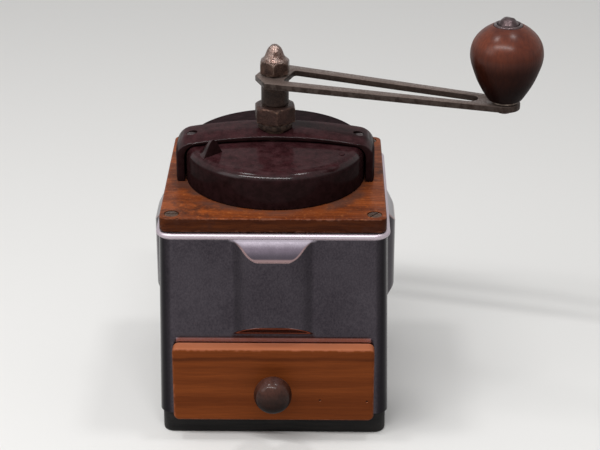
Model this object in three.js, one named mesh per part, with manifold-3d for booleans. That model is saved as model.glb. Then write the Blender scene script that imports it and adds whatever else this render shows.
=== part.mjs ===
// Manual coffee grinder: a square metal body between a wooden base and plate, with a moulded hopper and
// a crank on top. Millimetres, +Z up, front towards -Y. The origin is on the crank's axis, on the surface
// that the base stands on.
import * as THREE from 'three';
import { mergeVertices } from 'three/addons/utils/BufferGeometryUtils.js';
import Module from 'manifold-3d';

const wasm = await Module();
wasm.setup();

// Clearances
const seatGap = 0.3; // between pieces that are fixed face to face
const runningGap = 0.1; // round a shaft in its bearing
const turningGap = 0.4; // between mouldings that turn past each other
const slideGap = 0.5; // beside the drawer
const overrun = 3; // how far a cutting solid passes the face that it cuts

// Facets
const roundSides = 20;
const drumSides = 32;
const smallSides = 8;
const shoulderSteps = 4;
const cornerSteps = 3;
const archSteps = 6;
const crownSteps = 3;
const beadSteps = 3;

// Base board and metal body
const baseThickness = 14;
const baseEdge = 1;
const shellLap = 2; // how far the metal laps down over the base
const shellHeight = 100;
const shellHalfBottom = 58.3;
const shellTaper = 1.9; // how much narrower each side of the top is
const shellWall = 0.9;
const shellCornerRadius = 7;
const shellFlange = 3.5;
const beadRadius = 1.5;
const panelRise = 3.8; // how far a raised panel's face stands out beyond the metal's foot
const panelHalf = 20;
const panelFaceHalf = 10.4;
const panelFoot = 45;
const panelFaceFoot = 51.5;
const panelFaceDrop = 12.7; // below the top of the metal
const panelDrop = 3.7;
const panelEaseShares = [[0, 0], [1, 1]]; // [way up the slope, rise]
const notchHeight = 37.5;
const notchReveal = 0.7;
const postSize = 11;

// Top plate and its screws
const plateThickness = 7.5;
const plateInset = 0.4;
const plateCornerRadius = 4;
const plateEdge = 0.7;
const plateScrewInset = 6;
const plateScrewHead = 3.4;
const plateScrewShank = 1.7;
const plateScrewLength = 24;
const baseScrewLength = 26;

// Hopper lid, hood and bridge
const lidMargin = 10.1; // from the lid to the plate's edge
const lidHeight = 19;
const lidWall = 2.2;
const lidShoulder = 5.5;
const lidCrown = 2.8; // how far its top rises towards the middle, and the hood's and the bridge's with it
const lidBack = 3; // how far the lid runs behind the axis
const lidEyeRim = 5;
const pipHeight = 0.45;
const pipRadius = 1.6;
const pipInset = 7.4;
const pipHeading = -28.5;
const tabHeading = 214;
const tabInset = 9.1;
const tabHeight = 8.5;
const tabHalf = 6.2;
const tabSink = 1.1;
const tabSweep = 16.5;
const tabBackShares = [[0, 1, 1], [0.5, 0.86, 0.66], [1, 0.6, 0.1]]; // [way back, width, height]
const tabPoint = 1.35;
const tabSteps = 6;
const hoodWall = 1.4;
const hoodHeadroom = 0.45; // over the lid's pip
const hoodShoulderEase = 0.9; // how much rounder than the lid's shoulder and the hood's wall ask
const hoodLip = 2; // how far the hood runs in front of the axis
const bridgeLeg = 4.7;
const bridgeFront = 9;
const bridgeDepth = 19.5;
const bridgeCrown = 5.6; // above the hood, at the middle
const bridgeArch = 3.4; // how far the bridge's ends drop below its middle
const bridgeShoulder = 9;
const bridgeEdge = 0.9;
const bridgeScrewInset = 5;
const bridgeScrewSetback = 0.25; // behind the axis
const bridgeScrewHead = 2.5;
const bridgeScrewShank = 1.2;
const bridgeScrewLength = 3.5;
const bridgeScrewSink = 0.6;
const legScrewHead = 2.6;
const legScrewShank = 1.2;
const legScrewLength = 17;
const legScrewSetback = 3;

// Hopper bowl
const bowlInset = 10.9; // from the lid's outside to the bowl's inside
const bowlWall = 2;
const bowlRim = 1.2;
const bowlMouthLap = 0.3; // how much wider the bowl's mouth is than the ring burr's
const bowlFoot = 3;
const bowlSteps = 4;
const bowlScrewHead = 1.9;
const bowlScrewShank = 1;
const bowlScrewLength = 6.5;
const bowlScrewHeadings = [-90, 30, 150];

// Burrs
const ringRadius = 23.5;
const ringHeight = 19.5;
const ringFlangeReach = 6;
const ringFlange = 4;
const ringThroatWall = 9.5; // from the outside to the teeth at the throat, the top and the foot
const ringTopWall = 4.3;
const ringFootWall = 6.1;
const grindHeight = 9.5;
const grindGap = 0.9;
const coneLift = 0.3; // the cone's foot above the ring's foot
const coneHeight = 27;
const coneShoulder = 22.5;
const coneHubRadius = 6.5;
const fineDepth = 0.8;
const coarseDepth = 2.6;
const fineTeeth = 24;
const coarseTeeth = 6;
const pointsPerTooth = 2;
const fineShares = [0, 1];
const coarseShares = [0, 1, 0.66, 0.33];
const fineTwist = 14;
const coarseTwist = 60;
const burrScrewHead = 2.2;
const burrScrewShank = 1.3;
const burrScrewInset = 2.9;
const burrScrewLength = 7;
const burrScrewHeadings = [-90, 30, 150];
const burrPinRadius = 1;
const burrPinDrop = 3.2;

// Bearing strap under the burrs
const strapThickness = 2.4;
const strapWidth = 9;
const strapDrop = 9;
const strapEar = 5.6;
const strapLegRun = 5.6;
const strapScrewHead = 2;
const strapScrewShank = 1.1;
const strapScrewLength = 9;
const strapScrewInset = 2.6;

// Crank shaft and its bearing
const shaftRadius = 4;
const journalRadius = 3.4;
const journalLength = 7.5;
const journalTail = 1.4;
const squareSide = 6.2;
const threadRadius = 3.1;
const threadLength = 7.5;
const neckRadius = 7;
const sleeveRadius = 5.6; // the neck's lower part, inside the nut and the bush
const bushWall = 1.4;
const bushFlange = 3.2;
const bushFlangeThickness = 2;
const lockRingRadius = 8.8;
const lockRingThickness = 3;
const nutCorner = 11.3;
const nutHeight = 9;
const nutHeading = 6.8;
const nutChamfer = 1.6;
const neckHeight = 12.6;
const sleeveTail = 8;
const keyWidth = 2;
const keyDepth = 0.8;
const keyLength = 5;
const keyLead = 1.5; // from the foot of the neck up to the key

// Crank arm
const crankHeading = -19.8;
const armLength = 119;
const armThickness = 3;
const hubBack = 8.5;
const hubBackHalf = 5.5;
const hubHalf = 15.7;
const hubNose = 0.5;
const tipRadius = 7.6;
const slotStart = 7.6;
const slotTipRoom = 13.5; // from the slot's end to the rivet
const legWidthHub = 6.8;
const legWidthTip = 4.6;
const capCorner = 8.2;
const capHeight = 7.4;
const capHeading = 16.3;
const capDomeShares = [[0.9, 0], [0.76, 0.12], [0.62, 0.38], [0.52, 0.62], [0.38, 0.83], [0.2, 0.96], [0, 1]];
const capDome = 8.1;
const capBoreSpare = 1.2;
const capChamfer = 1.6;

// Crank knob
const knobRadius = 17.7;
const knobHeight = 37.9;
const knobShares = [
  [0.43, 0], [0.45, 0.05], [0.56, 0.16], [0.71, 0.28], [0.86, 0.41], [0.96, 0.52], [1, 0.62],
  [0.98, 0.71], [0.91, 0.8], [0.79, 0.88], [0.62, 0.95], [0.47, 0.99], [0.42, 1],
]; // [radius, height]
const washerRadius = 6.5;
const washerThickness = 1;
const rivetRadius = 2.4;
const rivetFootRadius = 4;
const rivetFoot = 1.6;
const domeRadius = 5;
const domeHeight = 4.4;
const domeSteps = 4;
const ferruleRadius = 7.2;
const ferruleThickness = 1.2;

// Drawer
const drawerFrontReveal = 7.5; // of metal beside the drawer's front
const drawerFrontHeight = 40.6;
const drawerFrontThickness = 6.6;
const drawerFrontDrop = 2.6; // below the top of the base
const drawerFrontCorner = 2.2;
const drawerFrontEdge = 1;
const drawerWall = 5;
const drawerFloor = 2.5;
const drawerSideHeight = 30;
const drawerRearRoom = 20.6; // behind the drawer's box
const guideWidth = 6;
const guideHeight = 12;
const drawerKnobRadius = 9.5;
const drawerKnobLength = 17.4;
const drawerKnobShares = [
  [0.5, 0], [0.47, 0.08], [0.6, 0.15], [0.82, 0.27], [0.96, 0.41], [1, 0.54], [0.96, 0.68], [0.82, 0.83],
  [0.55, 0.94], [0.28, 0.99], [0, 1],
]; // [radius, length]
const drawerScrewHead = 3.2;
const drawerScrewShank = 1.5;
const drawerScrewHeight = 2;
const drawerScrewReach = 8;

// Sizes and heights that follow
const shellHalfTop = shellHalfBottom - shellTaper;
const panelReach = shellHalfBottom + panelRise; // from the axis to the face of a raised panel
const panelFaceTop = shellHeight - panelFaceDrop;
const panelTop = shellHeight - panelDrop;
const plateHalf = shellHalfTop - plateInset;
const lidRadius = plateHalf - lidMargin;
const bowlRadius = lidRadius - bowlInset;
const slotEnd = armLength - slotTipRoom;
const ringFlangeRadius = ringRadius + ringFlangeReach;
const ringThroat = ringRadius - ringThroatWall;
const ringTopRadius = ringRadius - ringTopWall;
const ringFootRadius = ringRadius - ringFootWall;
const bowlMouth = ringTopRadius + bowlMouthLap;
const drawerFrontHalf = shellHalfBottom - drawerFrontReveal;
const drawerLength = 2 * shellHalfBottom - drawerRearRoom;
const shellBottom = baseThickness - shellLap;
const shellTop = shellBottom + shellHeight;
const plateBottom = shellTop + seatGap;
const plateTop = plateBottom + plateThickness;
const lidBottom = plateTop + seatGap;
const lidTop = plateTop + lidHeight;
const hoodRadius = lidRadius + turningGap + hoodWall;
const hoodTop = lidTop + pipHeight + hoodHeadroom + hoodWall;
const hoodShoulder = lidShoulder + turningGap + hoodWall + hoodShoulderEase;
const crownRadius = hoodRadius - hoodShoulder; // where the crowned tops meet their shoulders
const bridgeTop = hoodTop + bridgeCrown;
const bridgeHalf = lidRadius + turningGap + bridgeLeg;
const bowlRimBottom = plateTop + seatGap;
const bowlCentre = bowlRimBottom + bowlRim;
const bowlThroat = bowlCentre - Math.sqrt(bowlRadius ** 2 - bowlMouth ** 2);
const bowlBottom = bowlThroat - bowlFoot;
const ringTop = bowlBottom - seatGap;
const ringBottom = ringTop - ringHeight;
const coneBottom = ringBottom + coneLift;
const coneTop = coneBottom + coneHeight;
const strapTop = ringBottom - seatGap;
const crossbarTop = strapTop - strapDrop;
const crossbarBottom = crossbarTop - strapThickness;
const bushRadius = sleeveRadius + runningGap + bushWall;
const eyeRadius = bushRadius + lidEyeRim;
const eyeTop = lidTop + crownAt(eyeRadius);
const bushSeat = eyeTop - lidWall - seatGap;
const lockRingBottom = bridgeTop + seatGap;
const lockRingTop = lockRingBottom + lockRingThickness;
const nutBottom = lockRingTop + seatGap;
const nutTop = nutBottom + nutHeight;
const sleeveTop = nutTop + neckHeight;
const sleeveBottom = nutBottom - sleeveTail;
const armBottom = sleeveTop + seatGap;
const armTop = armBottom + armThickness;
const capBottom = armTop + seatGap;
const washerBottom = armTop + seatGap;
const knobBottom = washerBottom + washerThickness + seatGap;
const knobTop = knobBottom + knobHeight;
const postOuter = halfAt(shellTop) - shellWall - seatGap;
const postInner = postOuter - postSize;
const postBottom = baseThickness + seatGap;
const postTop = shellTop - shellWall - seatGap;
const screwPlace = plateHalf - plateScrewInset;
const drawerHalf = postInner - slideGap;
const drawerFrontBack = -shellHalfBottom - seatGap;
const drawerFrontFace = drawerFrontBack - drawerFrontThickness;
const drawerBottom = baseThickness + slideGap;
const drawerSideBottom = drawerBottom + drawerFloor + seatGap;
const drawerSideTop = drawerSideBottom + drawerSideHeight;
const drawerBoxFront = drawerFrontBack + seatGap;
const drawerBoxBack = drawerBoxFront + drawerLength;
const drawerFrontBottom = baseThickness - drawerFrontDrop;
const drawerMiddle = drawerFrontBottom + drawerFrontHeight / 2;

// Finishes
const finish = (color, roughness, metalness) => (
  new THREE.MeshStandardMaterial({ color, roughness, metalness })
);
const polishedSheet = finish(0xb9b6b8, 0.28, 0.95);
const plateWood = finish(0x8f4a22, 0.45, 0);
const drawerWood = finish(0x9a5226, 0.5, 0);
const rawWood = finish(0xb08a5c, 0.75, 0);
const blackWood = finish(0x17140f, 0.6, 0);
const moulding = finish(0x35161a, 0.25, 0);
const knobWood = finish(0x5e2a1c, 0.35, 0);
const wornSteel = finish(0x6b5d55, 0.5, 0.85);
const wornBrass = finish(0x7a6242, 0.5, 0.85);
const brightMetal = finish(0xb0a49c, 0.35, 0.9);
const castIron = finish(0x3f3c3a, 0.6, 0.8);
const tinnedSteel = finish(0x8d8a86, 0.4, 0.85);

// Shape helpers
const radians = (degrees) => THREE.MathUtils.degToRad(degrees);

function halfAt(z) {
  return THREE.MathUtils.mapLinear(z, shellBottom, shellTop, shellHalfBottom, shellHalfTop);
}

function signedVolume(geometry) {
  const position = geometry.attributes.position;
  const [a, b, c] = [new THREE.Vector3(), new THREE.Vector3(), new THREE.Vector3()];
  let total = 0;
  for (let i = 0; i < geometry.index.count; i += 3) {
    a.fromBufferAttribute(position, geometry.index.getX(i));
    b.fromBufferAttribute(position, geometry.index.getX(i + 1));
    c.fromBufferAttribute(position, geometry.index.getX(i + 2));
    total += a.dot(b.cross(c));
  }
  return total;
}

// Shares the vertices, drops faces that have shrunk to a line and turns the faces out
function closedGeometry(geometry) {
  const bare = geometry.clone();
  bare.deleteAttribute('normal');
  bare.deleteAttribute('uv');
  const merged = mergeVertices(bare);
  const kept = [];
  for (let i = 0; i < merged.index.count; i += 3) {
    const [a, b, c] = [0, 1, 2].map((corner) => merged.index.getX(i + corner));
    if (a !== b && b !== c && c !== a) {
      kept.push(a, b, c);
    }
  }
  merged.setIndex(kept);
  if (signedVolume(merged) < 0) {
    for (let i = 0; i < kept.length; i += 3) {
      [kept[i], kept[i + 1]] = [kept[i + 1], kept[i]];
    }
    merged.setIndex(kept);
  }
  return merged;
}

function solidOf(geometry) {
  const closed = closedGeometry(geometry);
  const vertProperties = new Float32Array(closed.attributes.position.array);
  const triVerts = new Uint32Array(closed.index.array);
  return new wasm.Manifold(new wasm.Mesh({ numProp: 3, vertProperties, triVerts }));
}

function geometryOf(solid) {
  const { vertProperties, triVerts } = solid.getMesh();
  const geometry = new THREE.BufferGeometry();
  geometry.setAttribute('position', new THREE.BufferAttribute(new Float32Array(vertProperties), 3));
  geometry.setIndex(Array.from(triVerts));
  return geometry;
}

function cut(geometry, ...tools) {
  const result = tools.reduce((solid, tool) => solid.subtract(solidOf(tool)), solidOf(geometry));
  return geometryOf(result);
}

function join(geometry, ...others) {
  const result = others.reduce((solid, other) => solid.add(solidOf(other)), solidOf(geometry));
  return geometryOf(result);
}

function common(geometry, other) {
  return geometryOf(solidOf(geometry).intersect(solidOf(other)));
}

// A profile of [radius, height] points turned about the Z axis
function revolve(profile, sides = roundSides) {
  const points = profile.map(([radius, height]) => new THREE.Vector2(radius, height));
  return closedGeometry(new THREE.LatheGeometry(points, sides).rotateX(Math.PI / 2));
}

function rod(radius, bottom, top, sides = roundSides) {
  return revolve([[0, bottom], [radius, bottom], [radius, top], [0, top]], sides);
}

function ring(inner, outer, bottom, top, sides = roundSides) {
  return revolve([[inner, bottom], [outer, bottom], [outer, top], [inner, top], [inner, bottom]], sides);
}

function arc(centreRadius, centreHeight, radius, from, to, steps) {
  return Array.from({ length: steps + 1 }, (_, step) => {
    const angle = radians(from + ((to - from) * step) / steps);
    return [centreRadius + radius * Math.cos(angle), centreHeight + radius * Math.sin(angle)];
  });
}

function block(left, right, front, back, bottom, top) {
  const box = new THREE.BoxGeometry(right - left, back - front, top - bottom);
  return box.translate((left + right) / 2, (front + back) / 2, (bottom + top) / 2);
}

function outline(points) {
  return new THREE.Shape(points.map(([x, y]) => new THREE.Vector2(x, y)));
}

function roundedRectangle(halfWidth, halfDepth, radius) {
  const shape = new THREE.Shape();
  shape.absarc(halfWidth - radius, halfDepth - radius, radius, 0, Math.PI / 2);
  shape.absarc(radius - halfWidth, halfDepth - radius, radius, Math.PI / 2, Math.PI);
  shape.absarc(radius - halfWidth, radius - halfDepth, radius, Math.PI, 1.5 * Math.PI);
  shape.absarc(halfWidth - radius, radius - halfDepth, radius, 1.5 * Math.PI, 2 * Math.PI);
  return shape;
}

// Extrudes along Z, with its edges eased by the size given
function board(shape, bottom, top, edge = 0, curveSegments = cornerSteps) {
  const extruded = new THREE.ExtrudeGeometry(shape, {
    depth: top - bottom - 2 * edge,
    bevelEnabled: edge > 0,
    bevelThickness: edge,
    bevelSize: edge,
    bevelOffset: -edge,
    bevelSegments: 1,
    curveSegments,
  });
  return extruded.translate(0, 0, bottom + edge);
}

function hexagon(corner) {
  return outline(Array.from({ length: 6 }, (_, side) => {
    const angle = radians(60 * side - 90);
    return [corner * Math.cos(angle), corner * Math.sin(angle)];
  }));
}

// Joins rings of the same number of points, either capped or closed on themselves
function loft(rings, closed) {
  const count = rings[0].length;
  const points = rings.flat();
  const index = [];
  const rows = closed ? rings.length : rings.length - 1;
  for (let row = 0; row < rows; row += 1) {
    const here = row * count;
    const there = ((row + 1) % rings.length) * count;
    for (let i = 0; i < count; i += 1) {
      const j = (i + 1) % count;
      index.push(here + i, here + j, there + j, here + i, there + j, there + i);
    }
  }
  if (!closed) {
    [[rings[0], 0, true], [rings.at(-1), (rings.length - 1) * count, false]].forEach(([rim, start, flip]) => {
      const middle = rim.reduce((sum, [x, y, z]) => [sum[0] + x, sum[1] + y, sum[2] + z], [0, 0, 0]);
      points.push(middle.map((value) => value / count));
      for (let i = 0; i < count; i += 1) {
        const [a, b] = [start + i, start + ((i + 1) % count)];
        index.push(points.length - 1, flip ? b : a, flip ? a : b);
      }
    });
  }
  const geometry = new THREE.BufferGeometry();
  geometry.setAttribute('position', new THREE.Float32BufferAttribute(points.flat(), 3));
  geometry.setIndex(index);
  return closedGeometry(geometry);
}

// A countersunk screw with a slotted head, head up at the origin, and the hole that it sits in
function screw(head, shank, length) {
  const headHeight = head - shank;
  const slot = shank / 2;
  const body = revolve([
    [0, 0], [head, 0], [head, -slot / 2], [shank, -slot / 2 - headHeight], [shank, shank - length],
    [slot, -length], [0, -length],
  ], smallSides);
  return cut(body, block(-head - overrun, head + overrun, -slot / 2, slot / 2, -slot, overrun));
}

function screwHole(head, shank, length) {
  const headHeight = head - shank;
  const slot = shank / 2;
  return revolve([
    [0, overrun], [head + seatGap, overrun], [head + seatGap, -slot / 2],
    [shank + seatGap, -slot / 2 - headHeight], [shank + seatGap, -length - seatGap], [0, -length - seatGap],
  ], smallSides);
}

// A screw with a flat round head, head up, its head's underside at the origin
function panScrew(head, headHeight, shank, length) {
  const slot = shank / 2;
  const body = revolve([
    [0, headHeight], [head - slot, headHeight], [head, headHeight - slot], [head, 0], [shank, 0],
    [shank, -length], [0, -length],
  ], smallSides);
  const reach = head + overrun;
  return cut(body, block(-reach, reach, -slot / 2, slot / 2, headHeight - slot, headHeight + overrun));
}

// Metal body
function easedShare(share, list) {
  const place = list.findIndex(([way]) => way >= share);
  const [[fromWay, fromRise], [toWay, toRise]] = [list[Math.max(place - 1, 0)], list[place]];
  return toWay === fromWay ? toRise : THREE.MathUtils.mapLinear(share, fromWay, toWay, fromRise, toRise);
}

// One level of the body: four sides with their raised panel, and four rounded corners
function bodyLevel(z, half, corner, rise) {
  const reach = Math.max(panelReach - halfAt(z), 0);
  const slope = panelHalf - panelFaceHalf;
  const leftSide = panelEaseShares.map(([way, out]) => [slope * way - panelHalf, out]);
  const rightSide = leftSide.map(([along, out]) => [-along, out]).reverse();
  const side = [...leftSide, ...rightSide].map(([along, out]) => (
    [along, -half - reach * Math.min(out, rise)]
  ));
  const bend = arc(half - corner, corner - half, corner, -90, 0, cornerSteps);
  return [0, 90, 180, 270].flatMap((turn) => [...side, ...bend].map(([x, y]) => {
    const angle = radians(turn);
    return [x * Math.cos(angle) - y * Math.sin(angle), x * Math.sin(angle) + y * Math.cos(angle), z];
  }));
}

function panelLevels() {
  const foot = panelEaseShares.map(([way, rise]) => {
    const height = THREE.MathUtils.lerp(panelFoot, panelFaceFoot, way);
    return [shellBottom + height, rise];
  });
  const top = panelEaseShares.map(([way, rise]) => {
    const height = THREE.MathUtils.lerp(panelTop, panelFaceTop, way);
    return [shellBottom + height, rise];
  });
  return [...foot, ...top.reverse()];
}

function bodyShell() {
  const beadCentre = shellTop - beadRadius;
  const innerCorner = shellCornerRadius - shellWall;
  const innerTop = shellTop - shellWall;
  const wall = panelLevels();
  const outer = [[shellBottom, 0], ...wall].map(([z, rise]) => (
    bodyLevel(z, halfAt(z), shellCornerRadius, rise)
  ));
  const bead = arc(0, beadCentre, beadRadius, -90, 90, beadSteps).map(([out, z]) => (
    bodyLevel(z, halfAt(z) + out, shellCornerRadius + out, 0)
  ));
  const rimHalf = halfAt(shellTop) - shellFlange;
  const rim = [shellTop, innerTop].map((z) => bodyLevel(z, rimHalf, shellCornerRadius - shellFlange, 0));
  const inner = [[innerTop, 0], ...wall.reverse(), [shellBottom, 0]].map(([z, rise]) => (
    bodyLevel(z, halfAt(z) - shellWall, innerCorner, rise)
  ));
  const shell = loft([...outer, ...bead, ...rim, ...inner], true);
  const notchHalf = postInner + notchReveal;
  const notchBack = shellWall + overrun - halfAt(shellBottom + notchHeight);
  const notch = block(
    -notchHalf, notchHalf, -panelReach - overrun, notchBack, shellBottom - overrun, shellBottom + notchHeight,
  );
  return cut(shell, notch);
}

function baseBoard() {
  const half = halfAt(baseThickness) - shellWall - seatGap;
  const corner = shellCornerRadius - shellWall - seatGap;
  const slab = board(roundedRectangle(half, half, corner), 0, baseThickness, baseEdge);
  const holes = cornerPlaces().map(([x, y]) => (
    screwHole(plateScrewHead, plateScrewShank, baseScrewLength).rotateX(Math.PI).translate(x, y, 0)
  ));
  return cut(slab, ...holes);
}

function cornerPlaces() {
  return [[-1, -1], [1, -1], [-1, 1], [1, 1]].map(([x, y]) => [x * screwPlace, y * screwPlace]);
}

// A corner post, with its outer corner rounded to fit the metal
function cornerPost(sideX, sideY) {
  const corner = shellCornerRadius - shellWall - seatGap;
  const shape = new THREE.Shape();
  shape.moveTo(postInner, postInner);
  shape.lineTo(postOuter, postInner);
  shape.absarc(postOuter - corner, postOuter - corner, corner, 0, Math.PI / 2);
  shape.lineTo(postInner, postOuter);
  const post = board(shape, postBottom, postTop).scale(sideX, sideY, 1);
  const [x, y] = [sideX * screwPlace, sideY * screwPlace];
  const upper = screwHole(plateScrewHead, plateScrewShank, plateScrewLength).translate(x, y, plateTop);
  const lower = screwHole(plateScrewHead, plateScrewShank, baseScrewLength).rotateX(Math.PI);
  return cut(closedGeometry(post), upper, lower.translate(x, y, 0));
}

function drawerGuide(side) {
  const inner = drawerHalf + slideGap;
  const reach = postInner - seatGap;
  const edges = [side * inner, side * (inner + guideWidth)].sort((a, b) => a - b);
  return block(...edges, -reach, reach, postBottom, postBottom + guideHeight);
}

function topPlate() {
  const square = roundedRectangle(plateHalf, plateHalf, plateCornerRadius);
  const slab = board(square, plateBottom, plateTop, plateEdge);
  const well = rod(bowlRadius + bowlWall + seatGap, plateBottom - overrun, plateTop + overrun, drumSides);
  const corners = cornerPlaces().map(([x, y]) => (
    screwHole(plateScrewHead, plateScrewShank, plateScrewLength).translate(x, y, plateTop)
  ));
  const legs = legScrewPlaces().map(([x, y]) => (
    rod(legScrewShank + seatGap, plateBottom - overrun, plateTop + overrun, smallSides).translate(x, y, 0)
  ));
  const rimScrews = bowlScrewPlaces().map(([x, y]) => (
    rod(bowlScrewShank + seatGap, plateTop - bowlScrewLength, plateTop + overrun, smallSides)
      .translate(x, y, 0)
  ));
  return cut(slab, well, ...corners, ...legs, ...rimScrews);
}

// Hopper lid, hood and bridge: their tops are crowned alike
function crownAt(radius) {
  return lidCrown * (1 - Math.min(radius / crownRadius, 1) ** 2);
}

function crownedTop(top) {
  return Array.from({ length: crownSteps + 1 }, (_, step) => {
    const radius = (crownRadius * step) / crownSteps;
    return [radius, top + crownAt(radius)];
  });
}

function capProfile(radius, bottom, top, shoulder, wall) {
  return [
    ...crownedTop(top),
    ...arc(radius - shoulder, top - shoulder, shoulder, 90, 0, shoulderSteps),
    [radius, bottom],
    [radius - wall, bottom],
    ...arc(radius - shoulder, top - shoulder, shoulder - wall, 0, 90, shoulderSteps),
    ...crownedTop(top - wall).reverse(),
  ];
}

function polar(radius, heading) {
  return [radius * Math.cos(radians(heading)), radius * Math.sin(radians(heading))];
}

// The thumb tab: a steep front face whose ridge falls away behind it
function lidTab() {
  const sections = tabBackShares.map(([back, width, height]) => {
    const heading = tabHeading - tabSweep * back;
    return Array.from({ length: tabSteps + 1 }, (_, step) => {
      const angle = (Math.PI * step) / tabSteps;
      const radius = lidRadius - tabInset + tabHalf * width * Math.cos(angle);
      const rise = (tabHeight * height + tabSink) * Math.sin(angle) ** tabPoint;
      return [...polar(radius, heading), lidTop - tabSink + rise];
    });
  });
  return loft(sections, false);
}

function hopperLid() {
  const drum = revolve(capProfile(lidRadius, lidBottom, lidTop, lidShoulder, lidWall), drumSides);
  const reach = lidRadius + overrun;
  const frontHalf = block(-reach, reach, -reach, lidBack, lidBottom - overrun, lidTop + lidCrown + overrun);
  const eye = rod(eyeRadius, eyeTop - lidWall, eyeTop);
  const pipPlace = lidRadius - pipInset;
  const pipTop = lidTop + crownAt(pipPlace) + pipHeight;
  const pip = rod(pipRadius, lidTop - lidWall / 2, pipTop, smallSides);
  pip.translate(...polar(pipPlace, pipHeading), 0);
  const hole = rod(bushRadius + turningGap, lidTop - lidWall - overrun, lidTop + lidCrown + overrun);
  return cut(join(common(drum, frontHalf), eye, pip, lidTab()), hole);
}

function hopperHood() {
  const profile = capProfile(hoodRadius, plateTop + seatGap, hoodTop, hoodShoulder, hoodWall);
  const drum = revolve(profile, drumSides);
  const reach = hoodRadius + overrun;
  const rearHalf = block(-reach, reach, -hoodLip, reach, plateTop - overrun, hoodTop + lidCrown + overrun);
  const hole = rod(bushRadius + seatGap, hoodTop - hoodWall - overrun, hoodTop + lidCrown + overrun);
  return cut(common(drum, rearHalf), hole, ...bridgeScrewHoles());
}

function bridgeOutline() {
  const inner = lidRadius + turningGap;
  const underside = hoodTop - hoodWall;
  const innerCorner = hoodShoulder - hoodWall;
  const endTop = bridgeTop - bridgeArch;
  const foot = plateTop + seatGap;
  const shape = new THREE.Shape();
  shape.moveTo(-bridgeHalf, foot);
  shape.lineTo(-inner, foot);
  shape.absarc(innerCorner - inner, underside - innerCorner, innerCorner, Math.PI, Math.PI / 2, true);
  shape.absarc(inner - innerCorner, underside - innerCorner, innerCorner, Math.PI / 2, 0, true);
  shape.lineTo(inner, foot);
  shape.lineTo(bridgeHalf, foot);
  shape.absarc(bridgeHalf - bridgeShoulder, endTop - bridgeShoulder, bridgeShoulder, 0, Math.PI / 2);
  shape.quadraticCurveTo(0, bridgeTop + bridgeArch, bridgeShoulder - bridgeHalf, endTop);
  shape.absarc(bridgeShoulder - bridgeHalf, endTop - bridgeShoulder, bridgeShoulder, Math.PI / 2, Math.PI);
  return shape;
}

function bridgeScrewPlaces() {
  return [-1, 1].map((side) => [side * (hoodRadius - bridgeScrewInset), bridgeScrewSetback]);
}

function bridgeScrewTop() {
  return bridgeTop - bridgeArch - bridgeScrewSink;
}

function bridgeScrewHoles() {
  return bridgeScrewPlaces().map(([x, y]) => (
    screwHole(bridgeScrewHead, bridgeScrewShank, bridgeScrewLength).translate(x, y, bridgeScrewTop())
  ));
}

function legScrewPlaces() {
  return [-1, 1].map((side) => [side * (bridgeHalf - bridgeLeg / 2), legScrewSetback - bridgeFront]);
}

// The room under the bridge's arched front edge
function frontArch() {
  const underside = hoodTop - hoodWall;
  const shape = new THREE.Shape();
  shape.moveTo(-crownRadius, underside - overrun);
  shape.lineTo(-crownRadius, underside);
  shape.quadraticCurveTo(0, underside + 2 * lidCrown, crownRadius, underside);
  shape.lineTo(crownRadius, underside - overrun);
  const arch = board(shape, hoodLip + seatGap, bridgeFront + overrun, 0, archSteps);
  return closedGeometry(arch.rotateX(Math.PI / 2));
}

function bridge() {
  const span = board(bridgeOutline(), 0, bridgeDepth, bridgeEdge, archSteps);
  span.rotateX(Math.PI / 2).translate(0, bridgeDepth - bridgeFront, 0);
  const hoodRoom = revolve([
    ...crownedTop(hoodTop + seatGap),
    ...arc(hoodRadius - hoodShoulder, hoodTop - hoodShoulder, hoodShoulder + seatGap, 90, 0, shoulderSteps),
    [hoodRadius + seatGap, plateTop - overrun],
    [0, plateTop - overrun],
  ], drumSides);
  const reach = hoodRadius + overrun;
  const behind = block(-reach, reach, -hoodLip - seatGap, reach, plateTop - overrun, bridgeTop + overrun);
  const hole = rod(bushRadius + seatGap, plateTop, bridgeTop + overrun);
  const legs = legScrewPlaces().map(([x, y]) => (
    rod(legScrewShank + seatGap, plateTop - overrun, plateBottom + legScrewLength + seatGap, smallSides)
      .translate(x, y, 0)
  ));
  return cut(span, common(hoodRoom, behind), frontArch(), hole, ...legs, ...bridgeScrewHoles());
}

// Hopper bowl: a round pot with a flat rim above and a foot for the burr ring below
function bowlScrewPlaces() {
  const middle = (bowlRadius + bowlWall + lidRadius - lidWall) / 2;
  return bowlScrewHeadings.map((heading) => polar(middle, heading));
}

function hopperBowl() {
  const rimRadius = lidRadius - lidWall - turningGap;
  const outerRadius = bowlRadius + bowlWall;
  const degreesAt = (height, radius) => (
    THREE.MathUtils.radToDeg(Math.asin((height - bowlCentre) / radius))
  );
  const outerStart = degreesAt(bowlThroat, outerRadius);
  const bowl = revolve([
    [rimRadius, bowlRimBottom], [rimRadius, bowlCentre],
    ...arc(0, bowlCentre, bowlRadius, 0, degreesAt(bowlThroat, bowlRadius), bowlSteps),
    [bowlMouth, bowlBottom], [ringFlangeRadius, bowlBottom], [ringFlangeRadius, bowlThroat],
    ...arc(0, bowlCentre, outerRadius, outerStart, degreesAt(bowlRimBottom, outerRadius), bowlSteps),
    [rimRadius, bowlRimBottom],
  ], drumSides);
  const rimHoles = bowlScrewPlaces().map(([x, y]) => (
    rod(bowlScrewShank + seatGap, bowlRimBottom - overrun, bowlCentre + overrun, smallSides)
      .translate(x, y, 0)
  ));
  const footHoles = burrScrewPlaces().map(([x, y]) => (
    rod(burrScrewShank + seatGap, bowlBottom - overrun, bowlThroat + overrun, smallSides).translate(x, y, 0)
  ));
  return cut(bowl, ...rimHoles, ...footHoles);
}

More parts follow.
